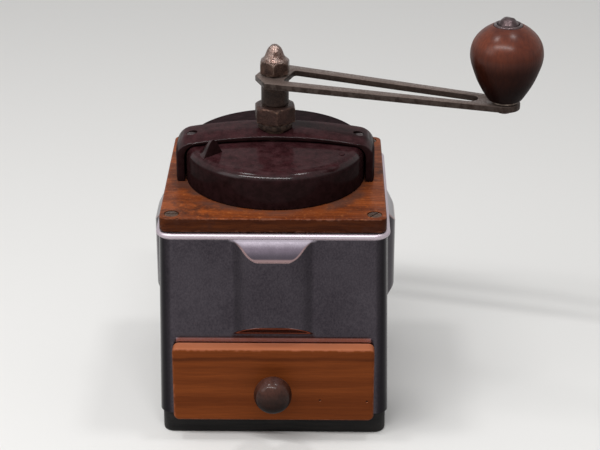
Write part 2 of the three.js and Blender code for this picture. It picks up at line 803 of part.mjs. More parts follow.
// Burrs: rows of teeth cut along a helix into a turned body
function toothedRow(z, radius, depth, teeth, shares, twist, sign) {
  const count = fineTeeth * pointsPerTooth;
  const run = count / teeth;
  return Array.from({ length: count }, (_, i) => {
    const place = ((i % run) * shares.length) / run;
    const low = shares[Math.floor(place)];
    const high = shares[(Math.floor(place) + 1) % shares.length];
    const share = low + (high - low) * (place - Math.floor(place));
    return [...polar(radius + sign * depth * share, (360 * i) / count + twist), z];
  });
}

function coneBurr() {
  const shoulder = coneBottom + coneShoulder;
  const throat = ringBottom + grindHeight;
  const foot = ringFootRadius - grindGap;
  const neck = ringThroat - grindGap;
  const slant = [1, 0.75, 0.5, 0.25, 0];
  const fine = slant.map((share) => {
    const depth = share > 0 ? fineDepth : 0;
    const z = THREE.MathUtils.lerp(throat, coneBottom, share);
    const radius = THREE.MathUtils.lerp(neck, foot, share);
    return toothedRow(z, radius, depth, fineTeeth, fineShares, fineTwist * share, -1);
  });
  const coarse = [0.15, 0.4, 0.65, 0.85].map((share) => {
    const z = THREE.MathUtils.lerp(throat, shoulder, share);
    const radius = THREE.MathUtils.lerp(neck, coneHubRadius, share);
    const depth = coarseDepth * Math.min(1, (1 - share) * (neck / coneHubRadius) * (1 - coneLift));
    return toothedRow(z, radius, depth, coarseTeeth, coarseShares, -coarseTwist * share, -1);
  });
  const hub = [shoulder, coneTop].map((z) => (
    toothedRow(z, coneHubRadius, 0, coarseTeeth, coarseShares, -coarseTwist, -1)
  ));
  const body = loft([...fine, ...coarse, ...hub], false);
  const bore = rod(shaftRadius + seatGap, coneBottom - overrun, coneTop + overrun, roundSides);
  return cut(body, bore, burrPin(seatGap, overrun));
}

function ringBurr() {
  const throat = ringBottom + grindHeight;
  const plain = (radius, z) => toothedRow(z, radius, 0, fineTeeth, fineShares, 0, 1);
  const fine = [0, 0.25, 0.5, 0.75, 1].map((share) => {
    const depth = share < 1 ? fineDepth : 0;
    const z = THREE.MathUtils.lerp(ringBottom, throat, share);
    const radius = THREE.MathUtils.lerp(ringFootRadius, ringThroat, share);
    return toothedRow(z, radius, depth, fineTeeth, fineShares, -fineTwist * (1 - share), 1);
  });
  const coarse = [0.2, 0.5, 0.8, 1].map((share) => {
    const depth = share < 1 ? fineDepth : 0;
    const z = THREE.MathUtils.lerp(throat, ringTop, share);
    const radius = THREE.MathUtils.lerp(ringThroat, ringTopRadius, share);
    return toothedRow(z, radius, depth, coarseTeeth * 2, coarseShares, fineTwist * share, 1);
  });
  const outside = [
    plain(ringFlangeRadius, ringTop), plain(ringFlangeRadius, ringTop - ringFlange),
    plain(ringRadius, ringTop - ringFlange), plain(ringRadius, ringBottom),
  ];
  const holes = burrScrewPlaces().map(([x, y]) => (
    rod(burrScrewShank + seatGap, ringTop - ringFlange - overrun, ringTop + overrun, smallSides)
      .translate(x, y, 0)
  ));
  const strapHoleTop = strapScrewSeat() + strapScrewLength + seatGap;
  const strapHoles = strapScrewPlaces().map(([x, y]) => (
    rod(strapScrewShank + seatGap, ringBottom - overrun, strapHoleTop, smallSides).translate(x, y, 0)
  ));
  return cut(loft([...fine, ...coarse, ...outside], true), ...holes, ...strapHoles);
}

function burrPin(spare = 0, extra = 0) {
  const half = coneHubRadius - seatGap + extra;
  const height = coneTop - burrPinDrop;
  return rod(burrPinRadius + spare, -half, half, smallSides).rotateY(Math.PI / 2).translate(0, 0, height);
}

function burrScrewPlaces() {
  return burrScrewHeadings.map((heading) => polar(ringFlangeRadius - burrScrewInset, heading));
}

// Bearing strap: two ears under the burr ring and a crossbar with the shaft's lower bearing
function strapScrewPlaces() {
  return [-1, 1].map((side) => [side * (ringRadius - strapScrewInset), 0]);
}

function strapScrewSeat() {
  return strapTop - strapThickness - seatGap;
}

function bearingStrap() {
  const ear = ringRadius - strapEar;
  const bar = ear - strapLegRun;
  const slopeShift = strapThickness / 2;
  const top = [[ringRadius, strapTop], [ear - slopeShift, strapTop], [bar - slopeShift, crossbarTop]];
  const under = [
    [bar, crossbarBottom], [ear, strapTop - strapThickness], [ringRadius, strapTop - strapThickness],
  ];
  const right = [...top.reverse(), ...under.reverse()];
  const half = [...right];
  const left = right.map(([x, z]) => [-x, z]).reverse();
  const strip = board(outline([...half, ...left]), 0, strapWidth).rotateX(Math.PI / 2);
  strip.translate(0, strapWidth / 2, 0);
  const bearing = rod(journalRadius + runningGap, crossbarBottom - overrun, crossbarTop + overrun);
  const holes = strapScrewPlaces().map(([x, y]) => (
    rod(strapScrewShank + seatGap, crossbarBottom, strapTop + overrun, smallSides).translate(x, y, 0)
  ));
  return cut(strip, bearing, ...holes);
}

// Upper bearing: a bush that carries the lid's eye, its ring, the turning nut and the rising neck
function bearingBush() {
  const bore = sleeveRadius + runningGap;
  const bush = revolve([
    [bore, bushSeat - bushFlangeThickness], [bushRadius + bushFlange, bushSeat - bushFlangeThickness],
    [bushRadius + bushFlange, bushSeat], [bushRadius, bushSeat], [bushRadius, lockRingTop],
    [bore, lockRingTop], [bore, bushSeat - bushFlangeThickness],
  ]);
  const keyHalf = keyWidth / 2 - runningGap;
  const keyBottom = sleeveBottom + keyLead;
  const keyInner = sleeveRadius - keyDepth + runningGap;
  const key = block(keyInner, bore + bushWall / 2, -keyHalf, keyHalf, keyBottom, keyBottom + keyLength);
  return join(bush, key);
}

function risingNeck() {
  const bore = shaftRadius + runningGap;
  const shoulder = nutTop + seatGap;
  const tube = revolve([
    [bore, sleeveBottom], [sleeveRadius, sleeveBottom], [sleeveRadius, shoulder], [neckRadius, shoulder],
    [neckRadius, sleeveTop], [bore, sleeveTop], [bore, sleeveBottom],
  ]);
  const slotTop = nutBottom + nutHeight / 2;
  const reach = sleeveRadius + overrun;
  const halfKey = keyWidth / 2;
  return cut(tube, block(sleeveRadius - keyDepth, reach, -halfKey, halfKey, sleeveBottom - overrun, slotTop));
}

function adjustingNut() {
  const flats = nutCorner * Math.cos(Math.PI / 6);
  const prism = board(hexagon(nutCorner), nutBottom, nutTop).rotateZ(radians(nutHeading));
  const turned = revolve([
    [0, nutBottom], [flats, nutBottom], [nutCorner, nutBottom + nutChamfer / 2],
    [nutCorner, nutTop - nutChamfer], [flats - nutChamfer, nutTop], [0, nutTop],
  ]);
  return cut(common(prism, turned), rod(sleeveRadius + runningGap, nutBottom - overrun, nutTop + overrun));
}

// Crank: shaft, arm, cap nut, and the knob on its rivet
function crankShaft() {
  const foot = crossbarBottom - journalTail;
  const shoulder = sleeveTop + seatGap / 2;
  const body = revolve([
    [0, foot], [journalRadius, foot], [journalRadius, foot + journalLength],
    [shaftRadius, foot + journalLength], [shaftRadius, shoulder], [threadRadius, shoulder],
    [threadRadius, capBottom + threadLength], [0, capBottom + threadLength],
  ]);
  const halfSquare = squareSide / 2;
  const square = block(-halfSquare, halfSquare, -halfSquare, halfSquare, sleeveTop + seatGap / 4, armTop);
  return cut(join(body, square), burrPin(seatGap, overrun));
}

function crankArm() {
  const edgeAt = (along) => THREE.MathUtils.mapLinear(along, hubNose, armLength, hubHalf, tipRadius);
  const widthAt = (along) => THREE.MathUtils.mapLinear(along, slotStart, slotEnd, legWidthHub, legWidthTip);
  const slotAt = (along) => edgeAt(along) - widthAt(along);
  const shape = new THREE.Shape();
  shape.moveTo(-hubBack, hubBackHalf);
  shape.lineTo(-hubBack, -hubBackHalf);
  shape.lineTo(hubNose, -hubHalf);
  shape.absarc(armLength, 0, tipRadius, -Math.PI / 2, Math.PI / 2);
  shape.lineTo(hubNose, hubHalf);
  const slotRound = slotAt(slotEnd);
  const slot = new THREE.Path();
  slot.moveTo(slotStart, slotAt(slotStart));
  slot.lineTo(slotStart, -slotAt(slotStart));
  slot.absarc(slotEnd - slotRound, 0, slotAt(slotEnd - slotRound), -Math.PI / 2, Math.PI / 2);
  shape.holes.push(slot);
  const halfHole = squareSide / 2 + seatGap;
  const hubHole = block(-halfHole, halfHole, -halfHole, halfHole, armBottom - overrun, armTop + overrun);
  const rivetHole = rod(rivetRadius + seatGap, armBottom - overrun, armTop + overrun, smallSides);
  return cut(board(shape, armBottom, armTop), hubHole, rivetHole.translate(armLength, 0, 0));
}

function capNut() {
  const hexTop = capBottom + capHeight;
  const flats = capCorner * Math.cos(Math.PI / 6);
  const prism = board(hexagon(capCorner), capBottom, hexTop).rotateZ(radians(capHeading));
  const turned = revolve([
    [0, capBottom], [flats, capBottom], [capCorner, capBottom + capChamfer / 2],
    [capCorner, hexTop - capChamfer], [flats, hexTop], [0, hexTop],
  ]);
  const dome = revolve([
    [0, hexTop - capChamfer], [flats * capDomeShares[0][0], hexTop - capChamfer],
    ...capDomeShares.map(([radius, height]) => [flats * radius, hexTop + capDome * height]),
  ]);
  const bore = rod(threadRadius + seatGap, capBottom - overrun, capBottom + threadLength + capBoreSpare);
  return cut(join(common(prism, turned), dome), bore);
}

function crankKnob() {
  const bore = rivetRadius + runningGap;
  const pocket = ferruleRadius + seatGap;
  const floor = knobTop - ferruleThickness;
  const body = revolve([
    [0, knobBottom],
    ...knobShares.map(([radius, height]) => [knobRadius * radius, knobBottom + knobHeight * height]),
    [0, knobTop],
  ]);
  const hole = rod(bore, knobBottom - overrun, knobTop + overrun);
  return cut(body, hole, rod(pocket - seatGap, floor, knobTop + overrun));
}

function knobFerrule() {
  const floor = knobTop - ferruleThickness;
  return ring(domeRadius + seatGap, ferruleRadius - seatGap, floor + seatGap, knobTop + seatGap);
}

function knobWasher() {
  return ring(rivetRadius + seatGap, washerRadius, washerBottom, washerBottom + washerThickness);
}

function knobRivet() {
  const footTop = armBottom - seatGap;
  const domeBottom = knobTop - ferruleThickness + seatGap;
  const dome = Array.from({ length: domeSteps + 1 }, (_, step) => {
    const angle = (Math.PI / 2) * (step / domeSteps);
    return [domeRadius * Math.cos(angle), domeBottom + domeHeight * Math.sin(angle)];
  });
  return revolve([
    [0, footTop - rivetFoot], [rivetFootRadius - rivetFoot / 2, footTop - rivetFoot],
    [rivetFootRadius, footTop], [rivetRadius, footTop], [rivetRadius, domeBottom], ...dome,
  ]);
}

// Drawer
function drawerFront() {
  const half = drawerFrontHeight / 2;
  const shape = roundedRectangle(drawerFrontHalf, half, drawerFrontCorner);
  const front = board(shape, 0, drawerFrontThickness, drawerFrontEdge).rotateX(Math.PI / 2);
  front.translate(0, drawerFrontBack, drawerMiddle);
  const hole = rod(drawerScrewShank + seatGap, -overrun, drawerFrontThickness + overrun, smallSides);
  return cut(front, hole.rotateX(Math.PI / 2).translate(0, drawerFrontBack, drawerMiddle));
}

function drawerSide(side) {
  const edges = [side * drawerHalf, side * (drawerHalf - drawerWall)].sort((a, b) => a - b);
  return block(...edges, drawerBoxFront, drawerBoxBack, drawerSideBottom, drawerSideTop);
}

function drawerBack() {
  const half = drawerHalf - drawerWall - seatGap;
  return block(-half, half, drawerBoxBack - drawerWall, drawerBoxBack, drawerSideBottom, drawerSideTop);
}

function drawerFloorBoard() {
  const top = drawerBottom + drawerFloor;
  return block(-drawerHalf, drawerHalf, drawerBoxFront, drawerBoxBack, drawerBottom, top);
}

function drawerKnob() {
  const bore = drawerScrewShank + seatGap;
  const face = drawerFrontFace - seatGap;
  const body = revolve([
    [0, 0],
    ...drawerKnobShares.map(([radius, length]) => [drawerKnobRadius * radius, drawerKnobLength * length]),
  ]);
  const hole = rod(bore, -overrun, drawerScrewReach + seatGap, smallSides);
  return cut(body, hole).rotateX(Math.PI / 2).translate(0, face, drawerMiddle);
}

function drawerScrew() {
  const length = drawerFrontThickness + drawerScrewReach + seatGap;
  const made = panScrew(drawerScrewHead, drawerScrewHeight, drawerScrewShank, length);
  return made.rotateX(-Math.PI / 2).translate(0, drawerFrontBack + seatGap, drawerMiddle);
}

// The assembly
const grinder = new THREE.Group();
const crank = new THREE.Group();
crank.rotation.z = radians(crankHeading);
const handle = new THREE.Group();
handle.position.x = armLength;
crank.add(handle);
grinder.add(crank);

function add(parent, name, geometry, material, x = 0, y = 0, z = 0) {
  const mesh = new THREE.Mesh(geometry, material);
  mesh.name = name;
  mesh.position.set(x, y, z);
  parent.add(mesh);
  return mesh;
}

// Body
add(grinder, 'base_board', baseBoard(), blackWood);
add(grinder, 'body_shell', bodyShell(), polishedSheet);
add(grinder, 'top_plate', topPlate(), plateWood);
const cornerNames = ['front_left', 'front_right', 'back_left', 'back_right'];
cornerPlaces().forEach(([x, y], place) => {
  const name = cornerNames[place];
  add(grinder, `corner_post_${name}`, cornerPost(Math.sign(x), Math.sign(y)), rawWood);
  const upper = screw(plateScrewHead, plateScrewShank, plateScrewLength).rotateZ(radians(place * 50));
  add(grinder, `plate_screw_${name}`, upper, wornSteel, x, y, plateTop);
  const below = screw(plateScrewHead, plateScrewShank, baseScrewLength);
  const lower = add(grinder, `base_screw_${name}`, below, wornSteel, x, y);
  lower.rotation.x = Math.PI;
  lower.position.z = seatGap;
});
add(grinder, 'drawer_guide_left', drawerGuide(-1), rawWood);
add(grinder, 'drawer_guide_right', drawerGuide(1), rawWood);

// Hopper
add(grinder, 'hopper_hood', hopperHood(), moulding);
add(grinder, 'hopper_bridge', bridge(), moulding);
bridgeScrewPlaces().forEach(([x, y]) => {
  const geometry = screw(bridgeScrewHead, bridgeScrewShank, bridgeScrewLength);
  add(grinder, `bridge_screw_${x < 0 ? 'left' : 'right'}`, geometry, brightMetal, x, y, bridgeScrewTop());
});
legScrewPlaces().forEach(([x, y]) => {
  const geometry = panScrew(legScrewHead, legScrewShank, legScrewShank, legScrewLength).rotateX(Math.PI);
  add(grinder, `leg_screw_${x < 0 ? 'left' : 'right'}`, geometry, wornSteel, x, y, plateBottom - seatGap);
});
add(grinder, 'hopper_bowl', hopperBowl(), tinnedSteel);
bowlScrewPlaces().forEach(([x, y], place) => {
  const geometry = panScrew(bowlScrewHead, bowlScrewShank, bowlScrewShank, bowlScrewLength);
  add(grinder, `bowl_screw_${place + 1}`, geometry, wornSteel, x, y, bowlCentre + seatGap);
});
add(grinder, 'hopper_lid', hopperLid(), moulding);

// Burrs and bearings
add(grinder, 'ring_burr', ringBurr(), castIron);
burrScrewPlaces().forEach(([x, y], place) => {
  const geometry = panScrew(burrScrewHead, burrScrewShank, burrScrewShank, burrScrewLength).rotateX(Math.PI);
  add(grinder, `burr_screw_${place + 1}`, geometry, wornSteel, x, y, ringTop - ringFlange - seatGap);
});
add(grinder, 'bearing_strap', bearingStrap(), castIron);
strapScrewPlaces().forEach(([x, y]) => {
  const geometry = panScrew(strapScrewHead, strapScrewShank, strapScrewShank, strapScrewLength);
  const name = `strap_screw_${x < 0 ? 'left' : 'right'}`;
  add(grinder, name, geometry.rotateX(Math.PI), wornSteel, x, y, strapScrewSeat());
});
add(grinder, 'bearing_bush', bearingBush(), wornBrass);
add(grinder, 'lock_ring', ring(bushRadius + seatGap, lockRingRadius, lockRingBottom, lockRingTop), wornSteel);
add(grinder, 'adjusting_nut', adjustingNut(), wornBrass);
add(grinder, 'rising_neck', risingNeck(), wornSteel);

// Crank
add(crank, 'crank_shaft', crankShaft(), wornSteel);
add(crank, 'cone_burr', coneBurr(), castIron);
add(crank, 'burr_pin', burrPin(), wornSteel);
add(crank, 'crank_arm', crankArm(), wornSteel);
add(crank, 'cap_nut', capNut(), brightMetal);
add(handle, 'knob_washer', knobWasher(), wornSteel);
add(handle, 'knob_rivet', knobRivet(), brightMetal);
add(handle, 'crank_knob', crankKnob(), knobWood);
add(handle, 'knob_ferrule', knobFerrule(), brightMetal);

// Drawer
add(grinder, 'drawer_front', drawerFront(), drawerWood);
add(grinder, 'drawer_side_left', drawerSide(-1), rawWood);
add(grinder, 'drawer_side_right', drawerSide(1), rawWood);
add(grinder, 'drawer_back', drawerBack(), rawWood);
add(grinder, 'drawer_floor', drawerFloorBoard(), rawWood);
add(grinder, 'drawer_knob', drawerKnob(), knobWood);
add(grinder, 'drawer_screw', drawerScrew(), wornSteel);

export default grinder;
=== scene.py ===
import math
import bmesh
import bpy
from mathutils import Matrix, Vector, noise


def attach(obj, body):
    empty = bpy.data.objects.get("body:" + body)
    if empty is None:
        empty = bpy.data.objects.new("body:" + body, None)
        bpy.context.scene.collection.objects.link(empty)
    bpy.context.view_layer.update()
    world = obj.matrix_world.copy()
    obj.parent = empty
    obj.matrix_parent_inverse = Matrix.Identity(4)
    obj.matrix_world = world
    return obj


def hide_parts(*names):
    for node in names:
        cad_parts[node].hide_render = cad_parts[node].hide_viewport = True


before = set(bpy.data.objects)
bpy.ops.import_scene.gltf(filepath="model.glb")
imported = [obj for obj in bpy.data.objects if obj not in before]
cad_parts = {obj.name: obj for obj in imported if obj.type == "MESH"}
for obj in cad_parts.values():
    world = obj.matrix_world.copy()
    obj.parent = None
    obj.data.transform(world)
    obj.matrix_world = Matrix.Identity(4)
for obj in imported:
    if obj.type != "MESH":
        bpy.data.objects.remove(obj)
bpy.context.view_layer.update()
mm = 0.001
print("frame loaded:", len(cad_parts), "nodes")


# Mesh tools
def newPiece(name, vertices, faces):
    mesh = bpy.data.meshes.new(name)
    mesh.from_pydata([tuple(v) for v in vertices], [], faces)
    mesh.update()
    piece = bpy.data.objects.new(name, mesh)
    bpy.context.scene.collection.objects.link(piece)
    return piece


def tidyNormals(piece):
    bm = bmesh.new()
    bm.from_mesh(piece.data)
    bmesh.ops.remove_doubles(bm, verts=bm.verts, dist=0.00001)
    bmesh.ops.recalc_face_normals(bm, faces=bm.faces)
    bm.to_mesh(piece.data)
    bm.free()
    return piece


def smoothShade(piece, degrees=32):
    piece.data.shade_smooth()
    piece.data.set_sharp_from_angle(angle=math.radians(degrees))
    return piece


def settle(piece):
    # keeps what the modifiers make
    graph = bpy.context.evaluated_depsgraph_get()
    made = bpy.data.meshes.new_from_object(piece.evaluated_get(graph))
    made.name = piece.name
    piece.modifiers.clear()
    piece.data = made
    return piece


def combine(piece, tool, operation="DIFFERENCE"):
    cutter = piece.modifiers.new("combine", "BOOLEAN")
    cutter.operation = operation
    cutter.solver = "EXACT"
    cutter.object = tool
    settle(piece)
    bpy.data.objects.remove(tool)
    return piece


def roundEdges(piece, width, steps=3, degrees=40):
    edges = piece.modifiers.new("round edges", "BEVEL")
    edges.width = width * mm
    edges.segments = steps
    edges.limit_method = "ANGLE"
    edges.angle_limit = math.radians(degrees)
    edges.harden_normals = False
    return settle(piece)


def turned(name, profile, sides=96):
    # profile is [radius, height] in mm; it starts and ends on the axis, or closes on itself
    ringed = profile[0][0] > 0
    vertices, rows = [], []
    for radius, height in profile:
        if radius <= 0:
            vertices.append((0, 0, height * mm))
            rows.append([len(vertices) - 1] * sides)
            continue
        start = len(vertices)
        for side in range(sides):
            turn = 2 * math.pi * side / sides
            vertices.append((radius * math.cos(turn) * mm, radius * math.sin(turn) * mm, height * mm))
        rows.append(list(range(start, start + sides)))
    if ringed:
        rows.append(rows[0])
    faces = []
    for lower, upper in zip(rows, rows[1:]):
        for i in range(sides):
            j = (i + 1) % sides
            corners = [lower[i], lower[j], upper[j], upper[i]]
            faces.append(list(dict.fromkeys(corners)))
    return tidyNormals(newPiece(name, vertices, [f for f in faces if len(f) > 2]))


def eased(points, steps=5):
    # a smooth line through the points
    line = []
    for i in range(len(points) - 1):
        a, b = points[max(i - 1, 0)], points[i]
        c, d = points[i + 1], points[min(i + 2, len(points) - 1)]
        for step in range(steps):
            t = step / steps
            line.append([
                0.5 * (2 * b[k] + (c[k] - a[k]) * t + (2 * a[k] - 5 * b[k] + 4 * c[k] - d[k]) * t ** 2
                       + (3 * b[k] - a[k] - 3 * c[k] + d[k]) * t ** 3)
                for k in range(2)
            ])
    return line + [list(points[-1])]


def arc(centre, height, radius, start, end, steps=10):
    line = []
    for step in range(steps + 1):
        turn = math.radians(start + (end - start) * step / steps)
        line.append([centre + radius * math.cos(turn), height + radius * math.sin(turn)])
    return line


def roundedOutline(halfX, halfY, radius, steps=10):
    line = []
    for turn, (x, y) in enumerate(((1, 1), (-1, 1), (-1, -1), (1, -1))):
        line += arc(x * (halfX - radius), y * (halfY - radius), radius, 90 * turn, 90 * turn + 90, steps)
    return line


def ringFaces(level, count):
    # between one ring of points and the next
    low, high = level * count, (level + 1) * count
    return [[low + i, low + (i + 1) % count, high + (i + 1) % count, high + i] for i in range(count)]


def slab(name, line, low, high, plane="xy"):
    # an outline in mm, raised from low to high: along z, or along y where the outline is in x and z
    def place(u, v, w):
        return (u * mm, v * mm, w * mm) if plane == "xy" else (u * mm, w * mm, v * mm)
    count = len(line)
    vertices = [place(u, v, low) for u, v in line] + [place(u, v, high) for u, v in line]
    faces = [list(range(count)), list(range(count, 2 * count))] + ringFaces(0, count)
    return tidyNormals(newPiece(name, vertices, faces))


def boxTool(x0, x1, y0, y1, z0, z1):
    return slab("boxTool", [[x0, y0], [x1, y0], [x1, y1], [x0, y1]], z0, z1)


def rodTool(radius, low, high, sides=48):
    return turned("rodTool", [[0, low], [radius, low], [radius, high], [0, high]], sides)


def polar(radius, heading):
    return radius * math.cos(math.radians(heading)), radius * math.sin(math.radians(heading))


def shifted(piece, x=0, y=0, z=0):
    piece.data.transform(Matrix.Translation((x * mm, y * mm, z * mm)))
    return piece


def dress(piece, body, material, slotName, *nodes):
    piece.data.materials.clear()
    piece.data.materials.append(material)
    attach(piece, body)
    if nodes:
        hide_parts(*nodes)
    return piece


# Node tools
def addNode(tree, kind, **settings):
    node = tree.nodes.new(kind)
    for key, value in settings.items():
        if hasattr(node, key):
            setattr(node, key, value)
        else:
            setInput(tree, node, key, value)
    return node


def linear(value):
    share = value / 255
    return share / 12.92 if share <= 0.04045 else ((share + 0.055) / 1.055) ** 2.4


def setInput(tree, node, name, value):
    # a colour runs from 0 to 255 as seen on a screen
    socket = node.inputs[name] if isinstance(name, int) else node.inputs[name.replace("_", " ")]
    if isinstance(value, bpy.types.NodeSocket):
        tree.links.new(value, socket)
    elif socket.type == "RGBA":
        socket.default_value = (*(linear(part) for part in value), 1)
    else:
        socket.default_value = value


def maths(tree, operation, *values, clamp=False):
    node = addNode(tree, "ShaderNodeMath", operation=operation, use_clamp=clamp)
    for place, value in enumerate(values):
        setInput(tree, node, place, value)
    return node.outputs[0]


def times(tree, first, second, clamp=False):
    return maths(tree, "MULTIPLY", first, second, clamp=clamp)


def plus(tree, first, second, clamp=False):
    return maths(tree, "ADD", first, second, clamp=clamp)


def inverse(tree, mask, clamp=False):
    return maths(tree, "SUBTRACT", 1.0, mask, clamp=clamp)


def vectorMaths(tree, operation, *values):
    node = addNode(tree, "ShaderNodeVectorMath", operation=operation)
    for place, value in enumerate(values):
        setInput(tree, node, place, value)
    return node.outputs[0]


def noiseOver(tree, place, **settings):
    return addNode(tree, "ShaderNodeTexNoise", Vector=place, **settings).outputs[0]


def parts(tree, vector):
    # its x, y and z
    return addNode(tree, "ShaderNodeSeparateXYZ", Vector=vector).outputs


def surfaceFacing(tree):
    # x, y and z of the way that the surface faces
    return parts(tree, addNode(tree, "ShaderNodeNewGeometry").outputs["Normal"])


def between(tree, value, low, high, start=0.0, end=1.0):
    node = addNode(tree, "ShaderNodeMapRange", interpolation_type="SMOOTHSTEP", Value=value)
    for name, number in (("From Min", low), ("From Max", high), ("To Min", start), ("To Max", end)):
        setInput(tree, node, name, number)
    return node.outputs["Result"]


def blendColour(tree, factor, first, second, mode="MIX"):
    node = tree.nodes.new("ShaderNodeMix")
    node.data_type = "RGBA"
    node.blend_type = mode
    for place, value in ((0, factor), (6, first), (7, second)):
        setInput(tree, node, place, value)
    return node.outputs[2]


# painted shade: darkens what faces sideways or down
def paintedSideShade(tree, upward, base, shade):
    return blendColour(tree, upward, blendColour(tree, 1.0, base, shade, "MULTIPLY"), base)


def newGroup(name, inputs, outputs):
    group = bpy.data.node_groups.new(name, "ShaderNodeTree")
    for label, kind, value in inputs:
        socket = group.interface.new_socket(label, in_out="INPUT", socket_type="NodeSocket" + kind)
        if value is not None:
            socket.default_value = value
    for label in outputs:
        group.interface.new_socket(label, in_out="OUTPUT", socket_type="NodeSocketFloat")
    return group, group.nodes.new("NodeGroupInput").outputs, group.nodes.new("NodeGroupOutput").inputs


def useGroup(tree, group, **values):
    node = tree.nodes.new("ShaderNodeGroup")
    node.node_tree = group
    for key, value in values.items():
        setInput(tree, node, key, value)
    return node.outputs


def surfacePoint(tree):
    # object coordinates in mm
    place = tree.nodes.new("ShaderNodeTexCoord").outputs["Object"]
    return addNode(tree, "ShaderNodeVectorMath", operation="SCALE", Vector=place, Scale=1 / mm).outputs[0]


# Long fibres with pores and darker streaks
def grainGroup():
    group, given, result = newGroup("woodGrain", [
        ("Point", "Vector", None), ("Stretch", "Vector", (0.02, 1.0, 1.0)), ("Streak Size", "Float", 0.25),
        ("Fibre Size", "Float", 1.6), ("Waviness", "Float", 1.5),
    ], ["Streaks", "Fibres", "Height"])
    drift = addNode(group, "ShaderNodeTexNoise", Vector=given["Point"], Scale=0.035, Detail=2.0)
    wave = addNode(group, "ShaderNodeCombineXYZ", **{axis: given["Waviness"] for axis in "XYZ"})
    bent = vectorMaths(group, "MULTIPLY_ADD", drift.outputs["Color"], wave.outputs[0], given["Point"])
    drawn = vectorMaths(group, "MULTIPLY", bent, given["Stretch"])
    streaks = noiseOver(group, drawn, Scale=given["Streak Size"], Detail=4.0, Roughness=0.6)
    fibres = noiseOver(group, drawn, Scale=given["Fibre Size"], Detail=3.0, Roughness=0.7)
    fineLines = between(group, fibres, 0.35, 0.65)
    group.links.new(between(group, streaks, 0.3, 0.7), result["Streaks"])
    group.links.new(fineLines, result["Fibres"])
    group.links.new(fineLines, result["Height"])
    return group


# Rubbed places along the edges of a board, whose middle and half size are given
def boardEdgeGroup():
    group, given, result = newGroup("boardEdges", [
        ("Point", "Vector", None), ("Centre", "Vector", (0, 0, 0)), ("Half", "Vector", (1, 1, 1)),
        ("Width", "Float", 1.5), ("Patch Size", "Float", 0.35),
    ], ["Mask"])
    away = vectorMaths(group, "ABSOLUTE", vectorMaths(group, "SUBTRACT", given["Point"], given["Centre"]))
    x, y, z = parts(group, vectorMaths(group, "SUBTRACT", given["Half"], away))
    # a point is near an edge when it is near two faces, so the middle one of the three depths counts
    least, most = maths(group, "MINIMUM", x, y), maths(group, "MAXIMUM", x, y)
    second = maths(group, "MAXIMUM", least, maths(group, "MINIMUM", most, z))
    patches = noiseOver(group, given["Point"], Scale=given["Patch Size"], Detail=4.0)
    ragged = times(group, given["Width"], between(group, patches, 0.3, 0.72, 0.05, 1.5))
    group.links.new(between(group, second, ragged, 0), result["Mask"])
    return group


# Worn corners of small metal pieces
def rubbedGroup():
    group, given, result = newGroup("rubbedEdges", [
        ("Point", "Vector", None), ("Start", "Float", 0.505), ("Full", "Float", 0.56),
        ("Patch Size", "Float", 0.4),
    ], ["Mask"])
    corner = addNode(group, "ShaderNodeNewGeometry").outputs["Pointiness"]
    patches = noiseOver(group, given["Point"], Scale=given["Patch Size"], Detail=3.0)
    edge = between(group, corner, given["Start"], given["Full"])
    group.links.new(times(group, edge, between(group, patches, 0.35, 0.6)), result["Mask"])
    return group


# How far a surface faces up
def upwardGroup():
    sockets = [("From", "Float", 0.2), ("Full", "Float", 0.95)]
    group, given, result = newGroup("upwardFaces", sockets, ["Mask"])
    group.links.new(between(group, surfaceFacing(group)[2], given["From"], given["Full"]), result["Mask"])
    return group


# Dust that settles on what faces up
def dustGroup():
    group, given, result = newGroup("settledDust", [
        ("Point", "Vector", None), ("Amount", "Float", 0.5), ("Clump Size", "Float", 0.25),
        ("Speck Size", "Float", 2.0),
    ], ["Mask"])
    clumps = noiseOver(group, given["Point"], Scale=given["Clump Size"], Detail=5.0)
    specks = noiseOver(group, given["Point"], Scale=given["Speck Size"], Detail=2.0)
    cloud = plus(group, between(group, clumps, 0.35, 0.7, 0, 0.65), between(group, specks, 0.5, 0.7, 0, 0.5))
    settled = times(group, between(group, surfaceFacing(group)[2], 0.55, 0.98), cloud)
    group.links.new(times(group, settled, given["Amount"], clamp=True), result["Mask"])
    return group


# Stains, pits and fine scratches of old metal
def agedGroup():
    group, given, result = newGroup("agedMetal", [
        ("Point", "Vector", None), ("Stain Size", "Float", 0.12), ("Pit Size", "Float", 1.6),
        ("Scratch Stretch", "Vector", (0.05, 1.0, 1.0)),
    ], ["Stains", "Pits", "Scratches", "Height"])
    stains = noiseOver(group, given["Point"], Scale=given["Stain Size"], Detail=6.0, Roughness=0.65)
    pits = between(group, noiseOver(group, given["Point"], Scale=given["Pit Size"], Detail=3.0), 0.42, 0.62)
    drawn = vectorMaths(group, "MULTIPLY", given["Point"], given["Scratch Stretch"])
    lines = between(group, noiseOver(group, drawn, Scale=2.5, Detail=4.0, Roughness=0.75), 0.3, 0.7)
    group.links.new(between(group, stains, 0.35, 0.65), result["Stains"])
    group.links.new(pits, result["Pits"])
    group.links.new(lines, result["Scratches"])
    group.links.new(plus(group, pits, times(group, lines, 0.35)), result["Height"])
    return group


woodGrain = grainGroup()
boardEdges = boardEdgeGroup()
rubbedEdges = rubbedGroup()
upwardFaces = upwardGroup()
settledDust = dustGroup()
agedMetal = agedGroup()


def startMaterial(name, **settings):
    material = bpy.data.materials.new(name)
    material.use_nodes = True
    tree = material.node_tree
    shader = tree.nodes["Principled BSDF"]
    for key, value in settings.items():
        setInput(tree, shader, key, value)
    return material, tree, shader


def bump(tree, shader, height, distance, strength=1.0):
    node = addNode(tree, "ShaderNodeBump", Height=height, Distance=distance, Strength=strength)
    tree.links.new(node.outputs[0], shader.inputs["Normal"])


